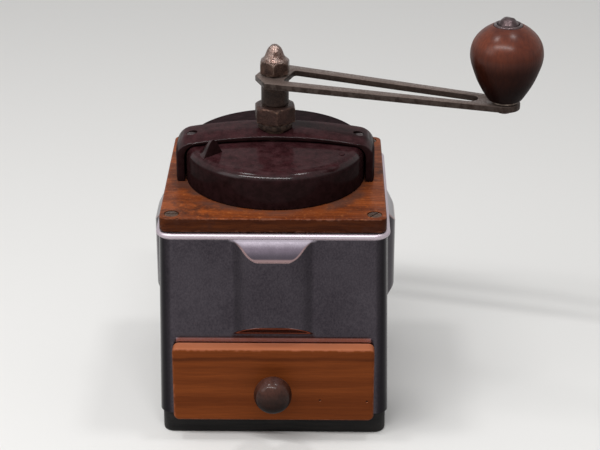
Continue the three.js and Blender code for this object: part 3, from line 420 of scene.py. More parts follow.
# Wood: what a material doesn't set itself comes from here
woodLook = {
    "dust": 0.25, "streakSize": 0.2, "fibreSize": 1.2, "waviness": 3.0, "fibreShade": 0.4, "roughness": 0.36,
    "rubbedShare": 0.4, "shine": 0.03, "sideFrom": (0.3, 0.9), "topFrom": (0.3, 0.9), "topShare": 0.7,
    "bandDriftSize": 0.03, "bandDrift": 3.0, "bandSoft": 0.1, "bandShade": (0.25, 0.85),
    "stainSize": 0.045, "stainRange": (0.5, 0.64), "stainShade": 0.85,
    "thinSize": 0.4, "thinRange": (0.53, 0.68), "thinShade": 0.6,
    "cloudSize": 0.09, "cloudRange": (0.35, 0.65), "cloudShade": (0.15, 0.8),
    "fibreRoughness": 0.1, "dustRoughness": 0.45, "sideGloss": 0.15, "glossFull": 0.6,
}


def grainBand(tree, look, point, streaks, base):
    # one dark line of grain at a height that drifts
    level, half, shade = look["band"]
    drift = noiseOver(tree, point, Scale=look["bandDriftSize"], Detail=3.0)
    height = plus(tree, parts(tree, point)[2], times(tree, drift, look["bandDrift"]))
    off = maths(tree, "ABSOLUTE", maths(tree, "SUBTRACT", height, level + look["bandDrift"] / 2))
    broken = between(tree, streaks, 0, 1, *look["bandShade"])
    return blendColour(tree, times(tree, between(tree, off, half, look["bandSoft"]), broken), base, shade)


def spilledOn(tree, look, point, upward, base):
    # dark spills, and small places where the varnish is thin
    spill = noiseOver(tree, point, Scale=look["stainSize"], Detail=6.0, Roughness=0.7)
    stain = between(tree, spill, *look["stainRange"], 0, look["stainShade"])
    base = blendColour(tree, stain, base, look["stain"])
    thin = noiseOver(tree, point, Scale=look["thinSize"], Detail=5.0, Roughness=0.75)
    thinned = times(tree, between(tree, thin, *look["thinRange"], 0, look["thinShade"]), inverse(tree, stain))
    return blendColour(tree, times(tree, thinned, upward), base, look["thin"])


def gatheredDust(tree, look, point):
    # dust between two distances from the crank's axis
    near, far = look["gather"]
    x, y, z = parts(tree, point)
    away = maths(tree, "SQRT", plus(tree, maths(tree, "POWER", x, 2.0), maths(tree, "POWER", y, 2.0)))
    patches = noiseOver(tree, point, Scale=look["cloudSize"], Detail=4.0)
    cloud = between(tree, patches, *look["cloudRange"], *look["cloudShade"])
    return times(tree, between(tree, away, far, near), cloud)


def woodFinish(name, values):
    look = {**woodLook, **values}
    material, tree, shader = startMaterial(name, Specular_IOR_Level=look["shine"],
                                           Coat_Roughness=look["coatRoughness"])
    point = surfacePoint(tree)
    grain = useGroup(tree, woodGrain, Point=point, Stretch=look["stretch"], Streak_Size=look["streakSize"],
                     Fibre_Size=look["fibreSize"], Waviness=look["waviness"])
    dust = useGroup(tree, settledDust, Point=point, Amount=look["dust"])["Mask"]
    base = blendColour(tree, grain["Streaks"], look["dark"], look["light"])
    base = blendColour(tree, times(tree, grain["Fibres"], look["fibreShade"]), base, look["pore"])
    upward = None
    if "side" in look:
        # painted shade: what faces sideways or down is darker; its coat is duller too
        start, full = look["sideFrom"]
        upward = useGroup(tree, upwardFaces, From=start, Full=full)["Mask"]
        base = paintedSideShade(tree, upward, base, look["side"])
    if "top" in look:
        # painted light: lighter where it faces up, as if lit from above
        start, full = look["topFrom"]
        upward = useGroup(tree, upwardFaces, From=start, Full=full)["Mask"]
        base = blendColour(tree, times(tree, upward, look["topShare"]), base, look["top"])
    if "band" in look:
        base = grainBand(tree, look, point, grain["Streaks"], base)
    rubbed = 0.0
    if "board" in look:
        centre, half, width = look["board"]
        rubbed = useGroup(tree, boardEdges, Point=point, Centre=centre, Half=half, Width=width)["Mask"]
        base = blendColour(tree, times(tree, rubbed, look["rubbedShare"]), base, look["rubbed"])
    if "stain" in look:
        base = spilledOn(tree, look, point, upward, base)
    if "gather" in look:
        dust = maths(tree, "MAXIMUM", dust, gatheredDust(tree, look, point))
    setInput(tree, shader, "Base Color", blendColour(tree, dust, base, look["dustColour"]))
    least = look["roughness"]
    rough = between(tree, grain["Fibres"], 0, 1, least, least + look["fibreRoughness"])
    rough = plus(tree, rough, times(tree, dust, look["dustRoughness"]), clamp=True)
    setInput(tree, shader, "Roughness", rough)
    if look["coat"]:
        gloss = times(tree, inverse(tree, dust, clamp=True), look["coat"])
        if upward is not None:
            gloss = times(tree, gloss, between(tree, upward, 0, look["glossFull"], look["sideGloss"], 1))
        setInput(tree, shader, "Coat Weight", times(tree, gloss, inverse(tree, rubbed)))
    bump(tree, shader, grain["Height"], look["relief"] * mm)
    return material


# Metal: what a material doesn't set itself comes from here
metalLook = {
    "shine": 0.15, "rubbedShare": 0.6, "pitShade": 0.6, "scratchShade": 0.1, "edges": (0.51, 0.58),
    "scratchStretch": (1.0, 1.0, 1.0), "roughness": 0.42, "pitRoughness": 0.2, "rubbedPolish": 0.15,
    "sideFrom": (0.35, 0.9),
}


def metalFinish(name, values):
    look = {**metalLook, **values}
    material, tree, shader = startMaterial(name, Specular_IOR_Level=look["shine"])
    point = surfacePoint(tree)
    aged = useGroup(tree, agedMetal, Point=point, Stain_Size=look["stainSize"], Pit_Size=look["pitSize"],
                    Scratch_Stretch=look["scratchStretch"])
    base = blendColour(tree, aged["Stains"], look["dark"], look["light"])
    base = blendColour(tree, times(tree, aged["Pits"], look["pitShade"]), base, look["pit"])
    base = blendColour(tree, times(tree, aged["Scratches"], look["scratchShade"]), base, look["rubbed"])
    if "side" in look:
        # painted shade: what faces sideways is darker
        start, full = look["sideFrom"]
        upward = useGroup(tree, upwardFaces, From=start, Full=full)["Mask"]
        base = paintedSideShade(tree, upward, base, look["side"])
    start, full = look["edges"]
    rubbed = useGroup(tree, rubbedEdges, Point=point, Start=start, Full=full)["Mask"]
    base = blendColour(tree, times(tree, rubbed, look["rubbedShare"]), base, look["rubbed"])
    setInput(tree, shader, "Base Color", base)
    setInput(tree, shader, "Metallic", between(tree, aged["Stains"], 0, 1, *look["metal"]))
    rough = between(tree, aged["Pits"], 0, 1, look["roughness"], look["roughness"] + look["pitRoughness"])
    rough = maths(tree, "SUBTRACT", rough, times(tree, rubbed, look["rubbedPolish"]), clamp=True)
    setInput(tree, shader, "Roughness", rough)
    bump(tree, shader, aged["Height"], look["relief"] * mm)
    return material


def sheetFinish(name, look):
    # polished sheet with a dull grey film, with painted light and shade: a painted highlight on the bead and
    # its bends, painted reflections on its slopes, and painted shade darkest round the corners
    material, tree, shader = startMaterial(name, Metallic=1.0)
    point = surfacePoint(tree)
    aged = useGroup(tree, agedMetal, Point=point, Stain_Size=look["stainSize"], Pit_Size=look["pitSize"],
                    Scratch_Stretch=look["scratchStretch"])
    facing = surfaceFacing(tree)
    start, full = look["slopeFacing"]
    upward = useGroup(tree, upwardFaces, From=start, Full=full)["Mask"]
    x, y, height = parts(tree, point)
    # how far a point is from the nearer middle line of the body
    fromMiddle = maths(tree, "MINIMUM", maths(tree, "ABSOLUTE", x), maths(tree, "ABSOLUTE", y))

    def inHeight(key):
        return between(tree, height, *look[key])

    film = blendColour(tree, aged["Stains"], look["film"], look["filmLight"])
    film = blendColour(tree, times(tree, aged["Scratches"], look["scratchShade"]), film, look["bead"])
    # painted shade: darker round the body's corners
    bend = between(tree, fromMiddle, *look["cornerRange"], 0, look["cornerShade"])
    film = blendColour(tree, bend, film, look["corner"])
    # painted shade: a little darker where a panel's sides rise
    turned = maths(tree, "ABSOLUTE", times(tree, facing[0], facing[1]))
    rising = between(tree, turned, *look["panelSide"], 0, look["panelSideShade"])
    rising = times(tree, rising, between(tree, fromMiddle, *look["panelSideRange"]))
    film = blendColour(tree, rising, film, look["corner"])
    # painted reflection: the slope above a panel, and what faces up, runs from dark to the bead's brightness
    low, middle, high = look["slope"]
    slope = blendColour(tree, inHeight("slopeLow"), low, middle)
    slope = blendColour(tree, inHeight("slopeHigh"), slope, high)
    mouth = times(tree, inHeight("mouthHeight"), between(tree, fromMiddle, *look["mouthRange"]))
    film = blendColour(tree, maths(tree, "MAXIMUM", upward, mouth), film, slope)
    # painted highlight: a light line along the bend at the top of a panel's face
    rim = times(tree, between(tree, facing[2], *look["rimStart"]), between(tree, facing[2], *look["rimEnd"]))
    rim = times(tree, times(tree, rim, inHeight("rimHeight")), look["rimHighlightShare"])
    film = blendColour(tree, rim, film, look["rim"])
    # painted reflection of the drawer's wood: brown where the panel faces down, and lighter just above the
    # drawer
    film = blendColour(tree, between(tree, facing[2], *look["underFacing"]), film, look["under"])
    drawerReflection = times(tree, inHeight("drawerReflectionTop"), between(tree, y, *look["drawerReflectionFront"]))
    drawerReflection = times(tree, drawerReflection, inHeight("drawerReflectionFoot"))
    drawerReflection = times(tree, drawerReflection, between(tree, fromMiddle, *look["drawerReflectionRange"]))
    film = blendColour(tree, drawerReflection, film, look["drawerReflectionColour"])
    # painted highlight: the bead is given a bright colour
    onBead = inHeight("beadRange")
    setInput(tree, shader, "Base Color", blendColour(tree, onBead, film, look["bead"]))
    rough = between(tree, aged["Stains"], 0, 1, look["roughness"], look["roughness"] + look["stainRoughness"])
    rough = plus(tree, rough, times(tree, aged["Scratches"], look["scratchRoughness"]))
    # the bead's highlight is one soft band
    rough = maths(tree, "MAXIMUM", rough, times(tree, onBead, look["beadRoughness"]))
    setInput(tree, shader, "Roughness", rough)
    relief = times(tree, aged["Height"], inverse(tree, onBead))
    bump(tree, shader, relief, look["relief"] * mm, look["reliefStrength"])
    return material


# Moulded plastic: what a material doesn't set itself comes from here
mouldingLook = {
    "wallDark": (24, 12, 12), "shine": 0.0, "coatRoughness": 0.15, "cloudSize": 0.3, "cloudRange": (0.3, 0.7),
    "speckSize": 0.9, "speckRange": (0.2, 0.05), "speckShade": 0.6, "dustClumps": 0.16, "dustSpecks": 1.4,
    "topFrom": (0.25, 0.95), "dustRoughness": 0.5, "wallGloss": 0.12, "shoulder": 0.3, "flatGloss": 0.4,
    "flatFrom": (0.98, 0.8), "grainSize": 1.2, "relief": 0.02, "reliefStrength": 0.6,
}


def mouldingFinish(name, values):
    look = {**mouldingLook, **values}
    material, tree, shader = startMaterial(name, Specular_IOR_Level=look["shine"],
                                           Coat_Roughness=look["coatRoughness"])
    point = surfacePoint(tree)
    specks = addNode(tree, "ShaderNodeTexVoronoi", Vector=point, Scale=look["speckSize"]).outputs["Distance"]
    dust = useGroup(tree, settledDust, Point=point, Amount=look["dust"], Clump_Size=look["dustClumps"],
                    Speck_Size=look["dustSpecks"])["Mask"]
    start, full = look["topFrom"]
    upward = useGroup(tree, upwardFaces, From=start, Full=full)["Mask"]
    mottle = noiseOver(tree, point, Scale=look["cloudSize"], Detail=6.0, Roughness=0.7)
    cloud = between(tree, mottle, *look["cloudRange"])
    wall = blendColour(tree, cloud, look["wallDark"], look["wall"])
    top = blendColour(tree, cloud, look["topDark"], look["top"])
    base = blendColour(tree, upward, wall, top)
    speck = times(tree, between(tree, specks, *look["speckRange"]), times(tree, upward, look["speckShade"]))
    base = blendColour(tree, speck, base, look["speck"])
    setInput(tree, shader, "Base Color", blendColour(tree, dust, base, look["dustColour"]))
    rough = plus(tree, times(tree, dust, look["dustRoughness"]), look["roughness"], clamp=True)
    setInput(tree, shader, "Roughness", rough)
    # the shoulders shine, and the flat tops have gone dull
    gloss = times(tree, between(tree, upward, 0, look["shoulder"], look["wallGloss"], 1.0),
                  between(tree, upward, *look["flatFrom"], look["flatGloss"], 1.0))
    gloss = times(tree, gloss, look["coat"])
    setInput(tree, shader, "Coat Weight", times(tree, inverse(tree, dust, clamp=True), gloss))
    fine = noiseOver(tree, point, Scale=look["grainSize"], Detail=2.0)
    bump(tree, shader, plus(tree, fine, dust), look["relief"] * mm, look["reliefStrength"])
    return material


def capFinish(name, look):
    # worn brown hexagon below, bright dome above
    material, tree, shader = startMaterial(name, Specular_IOR_Level=look["shine"])
    point = surfacePoint(tree)
    aged = useGroup(tree, agedMetal, Point=point, Stain_Size=look["stainSize"], Pit_Size=look["pitSize"],
                    Scratch_Stretch=look["scratchStretch"])
    height = parts(tree, point)[2]
    base = []
    for dark, light, pit, shade in (look["hexagon"], look["dome"]):
        stained = blendColour(tree, aged["Stains"], dark, light)
        base.append(blendColour(tree, times(tree, aged["Pits"], shade), stained, pit))
    base = blendColour(tree, between(tree, height, *look["domeFrom"]), *base)
    start, full = look["edges"]
    rubbed = useGroup(tree, rubbedEdges, Point=point, Start=start, Full=full)["Mask"]
    base = blendColour(tree, times(tree, rubbed, look["rubbedShare"]), base, look["rubbed"])
    setInput(tree, shader, "Base Color", base)
    setInput(tree, shader, "Metallic", between(tree, height, *look["domeFrom"], *look["metal"]))
    setInput(tree, shader, "Roughness", between(tree, aged["Pits"], 0, 1, *look["roughness"]))
    bump(tree, shader, aged["Height"], look["relief"] * mm)
    return material


# Materials
bareWood = {
    "dark": (150, 110, 72), "light": (190, 152, 108), "pore": (120, 82, 52),
    "dustColour": (96, 62, 40), "roughness": 0.66, "coat": 0.0, "coatRoughness": 0.4, "shine": 0.2,
    "relief": 0.05,
}
plateWood = woodFinish("plateWood", {
    "dark": (102, 46, 19), "light": (154, 78, 34), "pore": (66, 30, 18),
    # painted shade: side darkens the board's edges, which face sideways
    "side": (158, 168, 196), "stain": (62, 33, 23), "thin": (168, 98, 52),
    "board": ((0, 0, 116.05), (56, 56, 3.75), 1.1), "rubbed": (150, 100, 80),
    "dustColour": (88, 58, 48), "gather": (47.5, 57), "stretch": (0.05, 1.0, 1.0), "streakSize": 0.1,
    "fibreSize": 0.9, "waviness": 4.0, "fibreShade": 0.55, "coat": 0.08, "coatRoughness": 0.2, "relief": 0.08,
})
drawerWood = woodFinish("drawerWood", {
    "dark": (94, 45, 19), "light": (120, 61, 27), "pore": (72, 34, 16),
    # painted light: top lightens the board's upper edge, which faces up
    "top": (178, 108, 76), "band": (46.9, 1.8, (54, 24, 12)),
    "board": ((0, -61.9, 31.7), (50.8, 3.3, 20.3), 1.0), "rubbed": (184, 112, 84),
    "dustColour": (150, 110, 90), "dust": 0.1, "stretch": (0.03, 1.0, 1.0), "streakSize": 0.11,
    "fibreSize": 1.7, "waviness": 1.2, "fibreShade": 0.28, "coat": 0.06, "coatRoughness": 0.22,
    "relief": 0.02,
})
rawWood = woodFinish("rawWood", {**bareWood, "stretch": (1.0, 0.04, 1.0)})
postWood = woodFinish("postWood", {**bareWood, "stretch": (1.0, 1.0, 0.04)})
blackWood = woodFinish("blackWood", {
    "dark": (20, 19, 19), "light": (34, 32, 31), "pore": (12, 11, 11),
    "board": ((0, 0, 7), (57.1, 57.1, 7), 0.9), "rubbed": (74, 58, 48), "rubbedShare": 0.6,
    "dustColour": (82, 76, 72), "stretch": (0.04, 1.0, 1.0), "roughness": 0.45, "coat": 0.05,
    "coatRoughness": 0.3, "shine": 0.12, "relief": 0.04,
})
knobWood = woodFinish("knobWood", {
    "dark": (70, 29, 19), "light": (102, 48, 29), "pore": (50, 21, 15),
    # painted shade: side darkens the knob's lower half
    "dustColour": (112, 78, 70), "side": (70, 66, 72), "sideFrom": (-0.6, 0.75), "dust": 0.15,
    "stretch": (1.0, 1.0, 0.06), "streakSize": 0.08, "fibreSize": 0.8, "waviness": 5.0, "fibreShade": 0.3,
    "roughness": 0.42, "coat": 0.38, "coatRoughness": 0.26, "shine": 0.02, "relief": 0.012,
})
drawerKnobWood = woodFinish("drawerKnobWood", {
    "dark": (46, 24, 17), "light": (72, 42, 33), "pore": (32, 17, 13),
    # painted shade: side darkens what faces sideways or down
    "dustColour": (120, 98, 100), "side": (92, 82, 80), "sideFrom": (-0.6, 0.8), "dust": 0.15,
    "stretch": (1.0, 0.06, 1.0), "streakSize": 0.12, "fibreSize": 1.0, "waviness": 4.0, "fibreShade": 0.3,
    "coat": 0.3, "coatRoughness": 0.17, "shine": 0.04, "relief": 0.015,
})
wornSteel = metalFinish("wornSteel", {
    "dark": (62, 50, 44), "light": (100, 86, 78), "pit": (44, 32, 26),
    "rubbed": (150, 136, 126), "stainSize": 0.12, "pitSize": 1.3, "scratchShade": 0.12,
    "scratchStretch": (0.3, 1.0, 1.0), "metal": (0.35, 0.8), "relief": 0.05,
})
armSteel = metalFinish("armSteel", {
    "dark": (88, 74, 68), "light": (112, 98, 92), "pit": (66, 52, 46),
    # painted shade: side darkens the arm's sides
    "rubbed": (160, 146, 138), "side": (120, 112, 108), "rubbedShare": 0.2, "stainSize": 0.08,
    "pitSize": 1.1, "pitShade": 0.35, "scratchStretch": (0.3, 1.0, 1.0), "metal": (0.4, 0.7),
    "roughness": 0.44, "relief": 0.02, "edges": (0.51, 0.6),
})
screwSteel = metalFinish("screwSteel", {
    "dark": (60, 44, 37), "light": (96, 74, 62), "pit": (40, 27, 22),
    "rubbed": (140, 116, 102), "rubbedShare": 0.4, "stainSize": 0.3, "pitSize": 1.4, "pitShade": 0.4,
    "metal": (0.3, 0.7), "relief": 0.03,
})
wornBrass = metalFinish("wornBrass", {
    "dark": (44, 30, 28), "light": (74, 54, 50), "pit": (28, 19, 17),
    "rubbed": (118, 92, 76), "rubbedShare": 0.5, "stainSize": 0.2, "pitSize": 1.5, "pitShade": 0.5,
    "scratchStretch": (0.4, 0.4, 1.0), "metal": (0.4, 0.8), "roughness": 0.36, "relief": 0.05,
    "edges": (0.515, 0.57),
})
neckSteel = metalFinish("neckSteel", {
    "dark": (34, 26, 24), "light": (58, 46, 42), "pit": (24, 18, 16),
    "rubbed": (110, 90, 78), "stainSize": 0.16, "pitSize": 1.4, "pitShade": 0.5,
    "scratchStretch": (0.3, 0.3, 1.0), "metal": (0.4, 0.75), "roughness": 0.4, "relief": 0.04,
    "edges": (0.52, 0.6),
})
nailIron = metalFinish("nailIron", {
    "dark": (30, 22, 18), "light": (44, 34, 28), "pit": (20, 14, 12),
    "rubbed": (60, 46, 38), "rubbedShare": 0.1, "stainSize": 0.5, "pitSize": 2.0, "pitShade": 0.4,
    "scratchShade": 0.0, "metal": (0.0, 0.2), "roughness": 0.75, "relief": 0.01, "edges": (0.55, 0.7),
})
brightMetal = metalFinish("brightMetal", {
    "dark": (56, 44, 46), "light": (92, 79, 81), "pit": (44, 33, 32),
    "rubbed": (130, 115, 115), "rubbedShare": 0.4, "stainSize": 0.3, "pitSize": 1.2, "pitShade": 0.45,
    "scratchShade": 0.12, "metal": (0.85, 1.0), "roughness": 0.32, "relief": 0.025, "edges": (0.5, 0.56),
})
castIron = metalFinish("castIron", {
    "dark": (52, 50, 48), "light": (84, 80, 78), "pit": (34, 32, 30),
    "rubbed": (140, 136, 132), "rubbedShare": 0.8, "stainSize": 0.1, "pitSize": 0.9,
    "metal": (0.6, 0.85), "roughness": 0.5, "relief": 0.08,
})
tinnedSteel = metalFinish("tinnedSteel", {
    "dark": (120, 116, 112), "light": (160, 157, 154), "pit": (84, 74, 66),
    "rubbed": (190, 188, 186), "stainSize": 0.05, "pitSize": 0.6, "pitShade": 0.3, "scratchShade": 0.2,
    "scratchStretch": (0.6, 0.6, 0.1), "metal": (0.8, 1.0), "roughness": 0.34, "relief": 0.02,
    "edges": (0.52, 0.6),
})
# A range is where a shade starts and where it is full: in mm for a height or a distance from the body's
# middle line, and from -1 for down to 1 for up for a facing
polishedSheet = sheetFinish("polishedSheet", {
    "film": (49, 45, 51), "filmLight": (60, 56, 62), "stainSize": 0.03, "pitSize": 0.5,
    "scratchStretch": (0.5, 0.5, 0.35), "scratchShade": 0.06,
    # painted shade: corner darkens the body's corners and the rising sides of its panels
    "corner": (28, 26, 29), "cornerShade": 0.85, "cornerRange": (51, 55),
    "panelSide": (0.08, 0.3), "panelSideShade": 0.4, "panelSideRange": (13, 18),
    # painted reflection: slope colours run dark to bright up the slope above a panel
    "slope": ((86, 79, 88), (124, 113, 125), (200, 190, 202)), "slopeFacing": (0.15, 0.5),
    "slopeLow": (101, 105.2), "slopeHigh": (104.5, 108.6), "mouthHeight": (107.2, 108.6),
    "mouthRange": (22.5, 17.5),
    # painted highlight: rim is a light line on the panel's top bend; painted reflection: under is the
    # drawer's wood where a panel faces down
    "rim": (166, 138, 138), "rimHighlightShare": 0.9, "rimStart": (0.03, 0.15), "rimEnd": (0.52, 0.4),
    "rimHeight": (108.6, 104), "under": (160, 134, 132), "underFacing": (-0.2, -0.36),
    # painted reflection of the drawer on the sheet just above it
    "drawerReflectionColour": (176, 164, 178), "drawerReflectionTop": (55.3, 54.5), "drawerReflectionFoot": (49.6, 50.4),
    "drawerReflectionFront": (-52, -54), "drawerReflectionRange": (49.4, 48.6),
    # painted highlight: bead is the bead's bright colour, also the colour of light scratches
    "bead": (186, 174, 182), "beadRange": (108.4, 109.2), "beadRoughness": 0.42,
    "roughness": 0.13, "stainRoughness": 0.07, "scratchRoughness": 0.04, "relief": 0.004,
    "reliefStrength": 0.5,
})
darkMoulding = mouldingFinish("darkMoulding", {
    "wall": (36, 20, 21), "topDark": (32, 13, 15), "top": (53, 26, 29),
    "speck": (96, 64, 68), "dustColour": (98, 72, 74), "dust": 0.2, "roughness": 0.2, "coat": 0.42,
})
hoodMoulding = mouldingFinish("hoodMoulding", {
    "wall": (34, 20, 21), "topDark": (22, 12, 14), "top": (34, 19, 22),
    "speck": (74, 52, 56), "dustColour": (84, 64, 68), "dust": 0.14, "roughness": 0.22, "coat": 0.12,
})
capMetal = capFinish("capMetal", {
    # dark, light, pit and the pits' share
    "hexagon": ((48, 33, 28), (78, 58, 49), (36, 25, 21), 0.4),
    "dome": ((86, 66, 59), (150, 133, 127), (104, 80, 68), 0.35), "domeFrom": (182.2, 183.4),
    "rubbed": (180, 160, 148), "rubbedShare": 0.4, "edges": (0.51, 0.57), "shine": 0.2, "stainSize": 0.3,
    "pitSize": 1.2, "scratchStretch": (0.6, 0.6, 1.0), "metal": (0.6, 1.0), "roughness": (0.2, 0.4),
    "relief": 0.06,
})
print("materials ready")

# Metal body: one pressed sheet with raised panels, a rolled bead and a turned-in flange
body = {
    "bottom": 12, "top": 112, "halfBottom": 58.3, "halfTop": 56.4, "corner": 7, "sheet": 0.9, "bead": 1.5,
    "flange": (1, 2.4, 3.5), "panelReach": 62.1, "panelHalf": 21.6, "panelFace": 7.6, "panelFoot": 57,
    "panelFaceFoot": 63.5, "panelFaceTop": 98.4, "panelTop": 109.0, "notchHalf": 44.9, "notchTop": 49.5,
    "sideSoft": 0.5, "footSoft": 0.3, "topSoft": (0.1, 0.2), "wallRows": (12, 14, 20, 30, 40, 49.5, 53),
    "panelRows": (70, 78, 86, 94), "wallCuts": (-35, -27), "faceCuts": (-6, -2), "slopeSteps": 24,
}


def softRise(share, soft, softEnd=None):
    # a slope with both ends rounded
    softEnd = soft if softEnd is None else softEnd
    share = min(max(share, 0), 1)
    steep = 1 / (1 - soft / 2 - softEnd / 2)
    if share < soft:
        return steep * share ** 2 / (2 * soft)
    if share > 1 - softEnd:
        return 1 - steep * (1 - share) ** 2 / (2 * softEnd)
    return steep * (share - soft / 2)


def bodyRow(z, out, corner, rise):
    height = body["top"] - body["bottom"]
    half = body["halfBottom"] + (body["halfTop"] - body["halfBottom"]) * (z - body["bottom"]) / height
    reach = max(body["panelReach"] - half, 0)
    slope = body["panelHalf"] - body["panelFace"]
    plain = half + out - corner
    along = [-plain, -body["notchHalf"], *body["wallCuts"]]
    steps = body["slopeSteps"]
    along += [-body["panelHalf"] + slope * step / steps for step in range(steps + 1)]
    along += body["faceCuts"]
    along += [-x for x in reversed(along)]
    side = []
    for x in along:
        across = softRise((body["panelHalf"] - abs(x)) / slope, body["sideSoft"])
        side.append((x, -half - out - reach * min(across, rise)))
    bend = arc(plain, -plain, corner, -90, 0, 12)[1:-1]
    row = []
    for turn in range(4):
        c, s = round(math.cos(math.pi * turn / 2)), round(math.sin(math.pi * turn / 2))
        row += [((x * c - y * s) * mm, (x * s + y * c) * mm, z * mm) for x, y in side + bend]
    return row


def slopeRows(start, end, steps, rise):
    for step in range(steps + 1):
        z = body[start] + (body[end] - body[start]) * step / steps
        yield bodyRow(z, 0, body["corner"], rise(step / steps))


def makeBody():
    rows = [bodyRow(z, 0, body["corner"], 0) for z in body["wallRows"]]
    rows += slopeRows("panelFoot", "panelFaceFoot", 12, lambda share: softRise(share, body["footSoft"]))
    rows += [bodyRow(z, 0, body["corner"], 1) for z in body["panelRows"]]
    rows += slopeRows("panelFaceTop", "panelTop", 24, lambda share: softRise(1 - share, *body["topSoft"]))
    for out, z in arc(0, body["top"] - body["bead"], body["bead"], -90, 90, 10):
        rows.append(bodyRow(z, max(out, 0), body["corner"] + max(out, 0), 0))
    for inset in body["flange"]:
        rows.append(bodyRow(body["top"], -inset, body["corner"] - inset, 0))
    points = [point for row in rows for point in row]
    faces = []
    for level in range(len(rows) - 1):
        for face in ringFaces(level, len(rows[0])):
            # the drawer's opening has no faces
            x, y, z = ((points[face[0]][k] + points[face[2]][k]) / 2 / mm for k in range(3))
            if not (abs(x) < body["notchHalf"] and y < 0 and z < body["notchTop"]):
                faces.append(face)
    piece = newPiece("metalBody", points, faces)
    bm = bmesh.new()
    bm.from_mesh(piece.data)
    bmesh.ops.delete(bm, geom=[v for v in bm.verts if not v.link_faces], context="VERTS")
    bm.to_mesh(piece.data)
    bm.free()
    sheet = piece.modifiers.new("sheet", "SOLIDIFY")
    sheet.thickness = body["sheet"] * mm
    sheet.offset = -1
    settle(piece)
    return smoothShade(piece, 40)


dress(makeBody(), "body", polishedSheet, "sheet", "body_shell")
print("metal body done")


# Boards: a well is its radius and the heights that it is cut between
def makeBoard(name, board):
    outline = roundedOutline(board["half"], board["half"], board["corner"], 8)
    piece = roundEdges(slab(name, outline, board["bottom"], board["top"]), board["edge"])
    if "well" in board:
        combine(piece, rodTool(*board["well"], 96))
    for x in (-board["screws"], board["screws"]):
        for y in (-board["screws"], board["screws"]):
            combine(piece, shifted(turned("sink", board["sink"], 32), x, y))
    return piece


# Wooden top plate, with a bruise on its front edge
plate = {
    "bottom": 112.3, "top": 119.8, "half": 56, "corner": 4, "edge": 0.9, "well": (37.3, 105, 125),
    "screws": 50, "sink": [[0, 95], [2.0, 95], [2.0, 117.5], [3.75, 119.2], [3.85, 121], [0, 121]],
    "bruiseAt": (-47, -56.4, 119.9), "bruise": 1.1, "ragged": 0.3, "raggedSize": 900,
}
top = makeBoard("topPlate", plate)
bruise = turned("bruise", arc(0, 0, plate["bruise"], -90, 90, 6), 12)
for vertex in bruise.data.vertices:
    vertex.co *= 1 + plate["ragged"] * noise.noise(vertex.co * plate["raggedSize"])
combine(top, shifted(bruise, *plate["bruiseAt"]))
dress(smoothShade(top), "body", plateWood, "plate_wood", "top_plate")

# Black base board
base = {
    "bottom": 0, "top": 14, "half": 57.1, "corner": 5.8, "edge": 1.2, "screws": 50,
    "sink": [[0, -2], [3.8, -2], [3.7, 0.8], [2.0, 2.6], [2.0, 20], [0, 20]],
}
dress(smoothShade(makeBoard("baseBoard", base)), "body", blackWood, "black_wood", "base_board")
print("boards done")

# Hopper hood and lid: their tops are crowned alike. What is kept of each is a box in x, y and z, and a hole
# is its radius and the heights that it is cut between
crowned = {"radius": 39.5, "rise": 2.8}
hood = {
    "radius": 47.7, "top": 141.1, "shoulder": 8.2, "wall": 1.4, "foot": 120.1,
    "kept": (-60, 60, -2, 60, 110, 150), "hole": (7.4, 130, 150),
}
lid = {
    "radius": 45.9, "top": 138.8, "shoulder": 5.5, "wall": 2.2, "foot": 120.1,
    "kept": (-60, 60, -60, 3, 110, 150), "hole": (7.5, 130, 150), "eye": 12.1, "tabHeading": 214,
    "tabSweep": 16.5, "tabRadius": 36.8, "tabHalf": 6.2, "tabHeight": 8.4, "tabSunk": 0.4, "tabFoot": 1.2,
    # radius, heading, size and rise
    "pip": (38.5, -28.5, 1.6, 0.45),
    # how far back, how wide and how high the thumb tab is at each row
    "tabShares": [
        (-0.03, 1.0, 0.0), (-0.015, 1.0, 0.75), (0, 1.0, 1.0), (0.12, 0.98, 0.97), (0.3, 0.93, 0.82),
        (0.5, 0.86, 0.6), (0.7, 0.78, 0.38), (0.86, 0.7, 0.2), (0.96, 0.64, 0.1), (1.0, 0.6, 0.0),
    ],
}


def crownAt(radius):
    return crowned["rise"] * (1 - min(radius / crowned["radius"], 1) ** 2)


def crownedTop(height, steps=16):
    radii = [crowned["radius"] * step / steps for step in range(steps + 1)]
    return [[radius, height + crownAt(radius)] for radius in radii]


def drum(name, values, sides=160):
    r, topZ, bend, wall, foot = (values[key] for key in ("radius", "top", "shoulder", "wall", "foot"))
    outer = arc(r - bend, topZ - bend, bend, 90, 0, 14)
    inner = arc(r - bend, topZ - bend, bend - wall, 0, 90, 10)
    if values is hood:
        # its shoulder starts where its crown ends, so that point is left to the crown
        outer, inner = outer[1:], inner[:-1]
    profile = crownedTop(topZ) + outer + [[r, topZ - bend - drop] for drop in (0.4, 1.2, 3)]
    profile += [[r, foot + 1], [r, foot + 0.3], [r - 0.3, foot], [r - wall + 0.2, foot]]
    profile += [[r - wall, foot + 0.2], [r - wall, topZ - bend - 1]] + inner + crownedTop(topZ - wall)[::-1]
    return turned(name, profile, sides)


hoodPiece = combine(drum("hopperHood", hood), boxTool(*hood["kept"]), "INTERSECT")
combine(hoodPiece, rodTool(*hood["hole"]))
dress(smoothShade(hoodPiece), "body", hoodMoulding, "moulding", "hopper_hood")


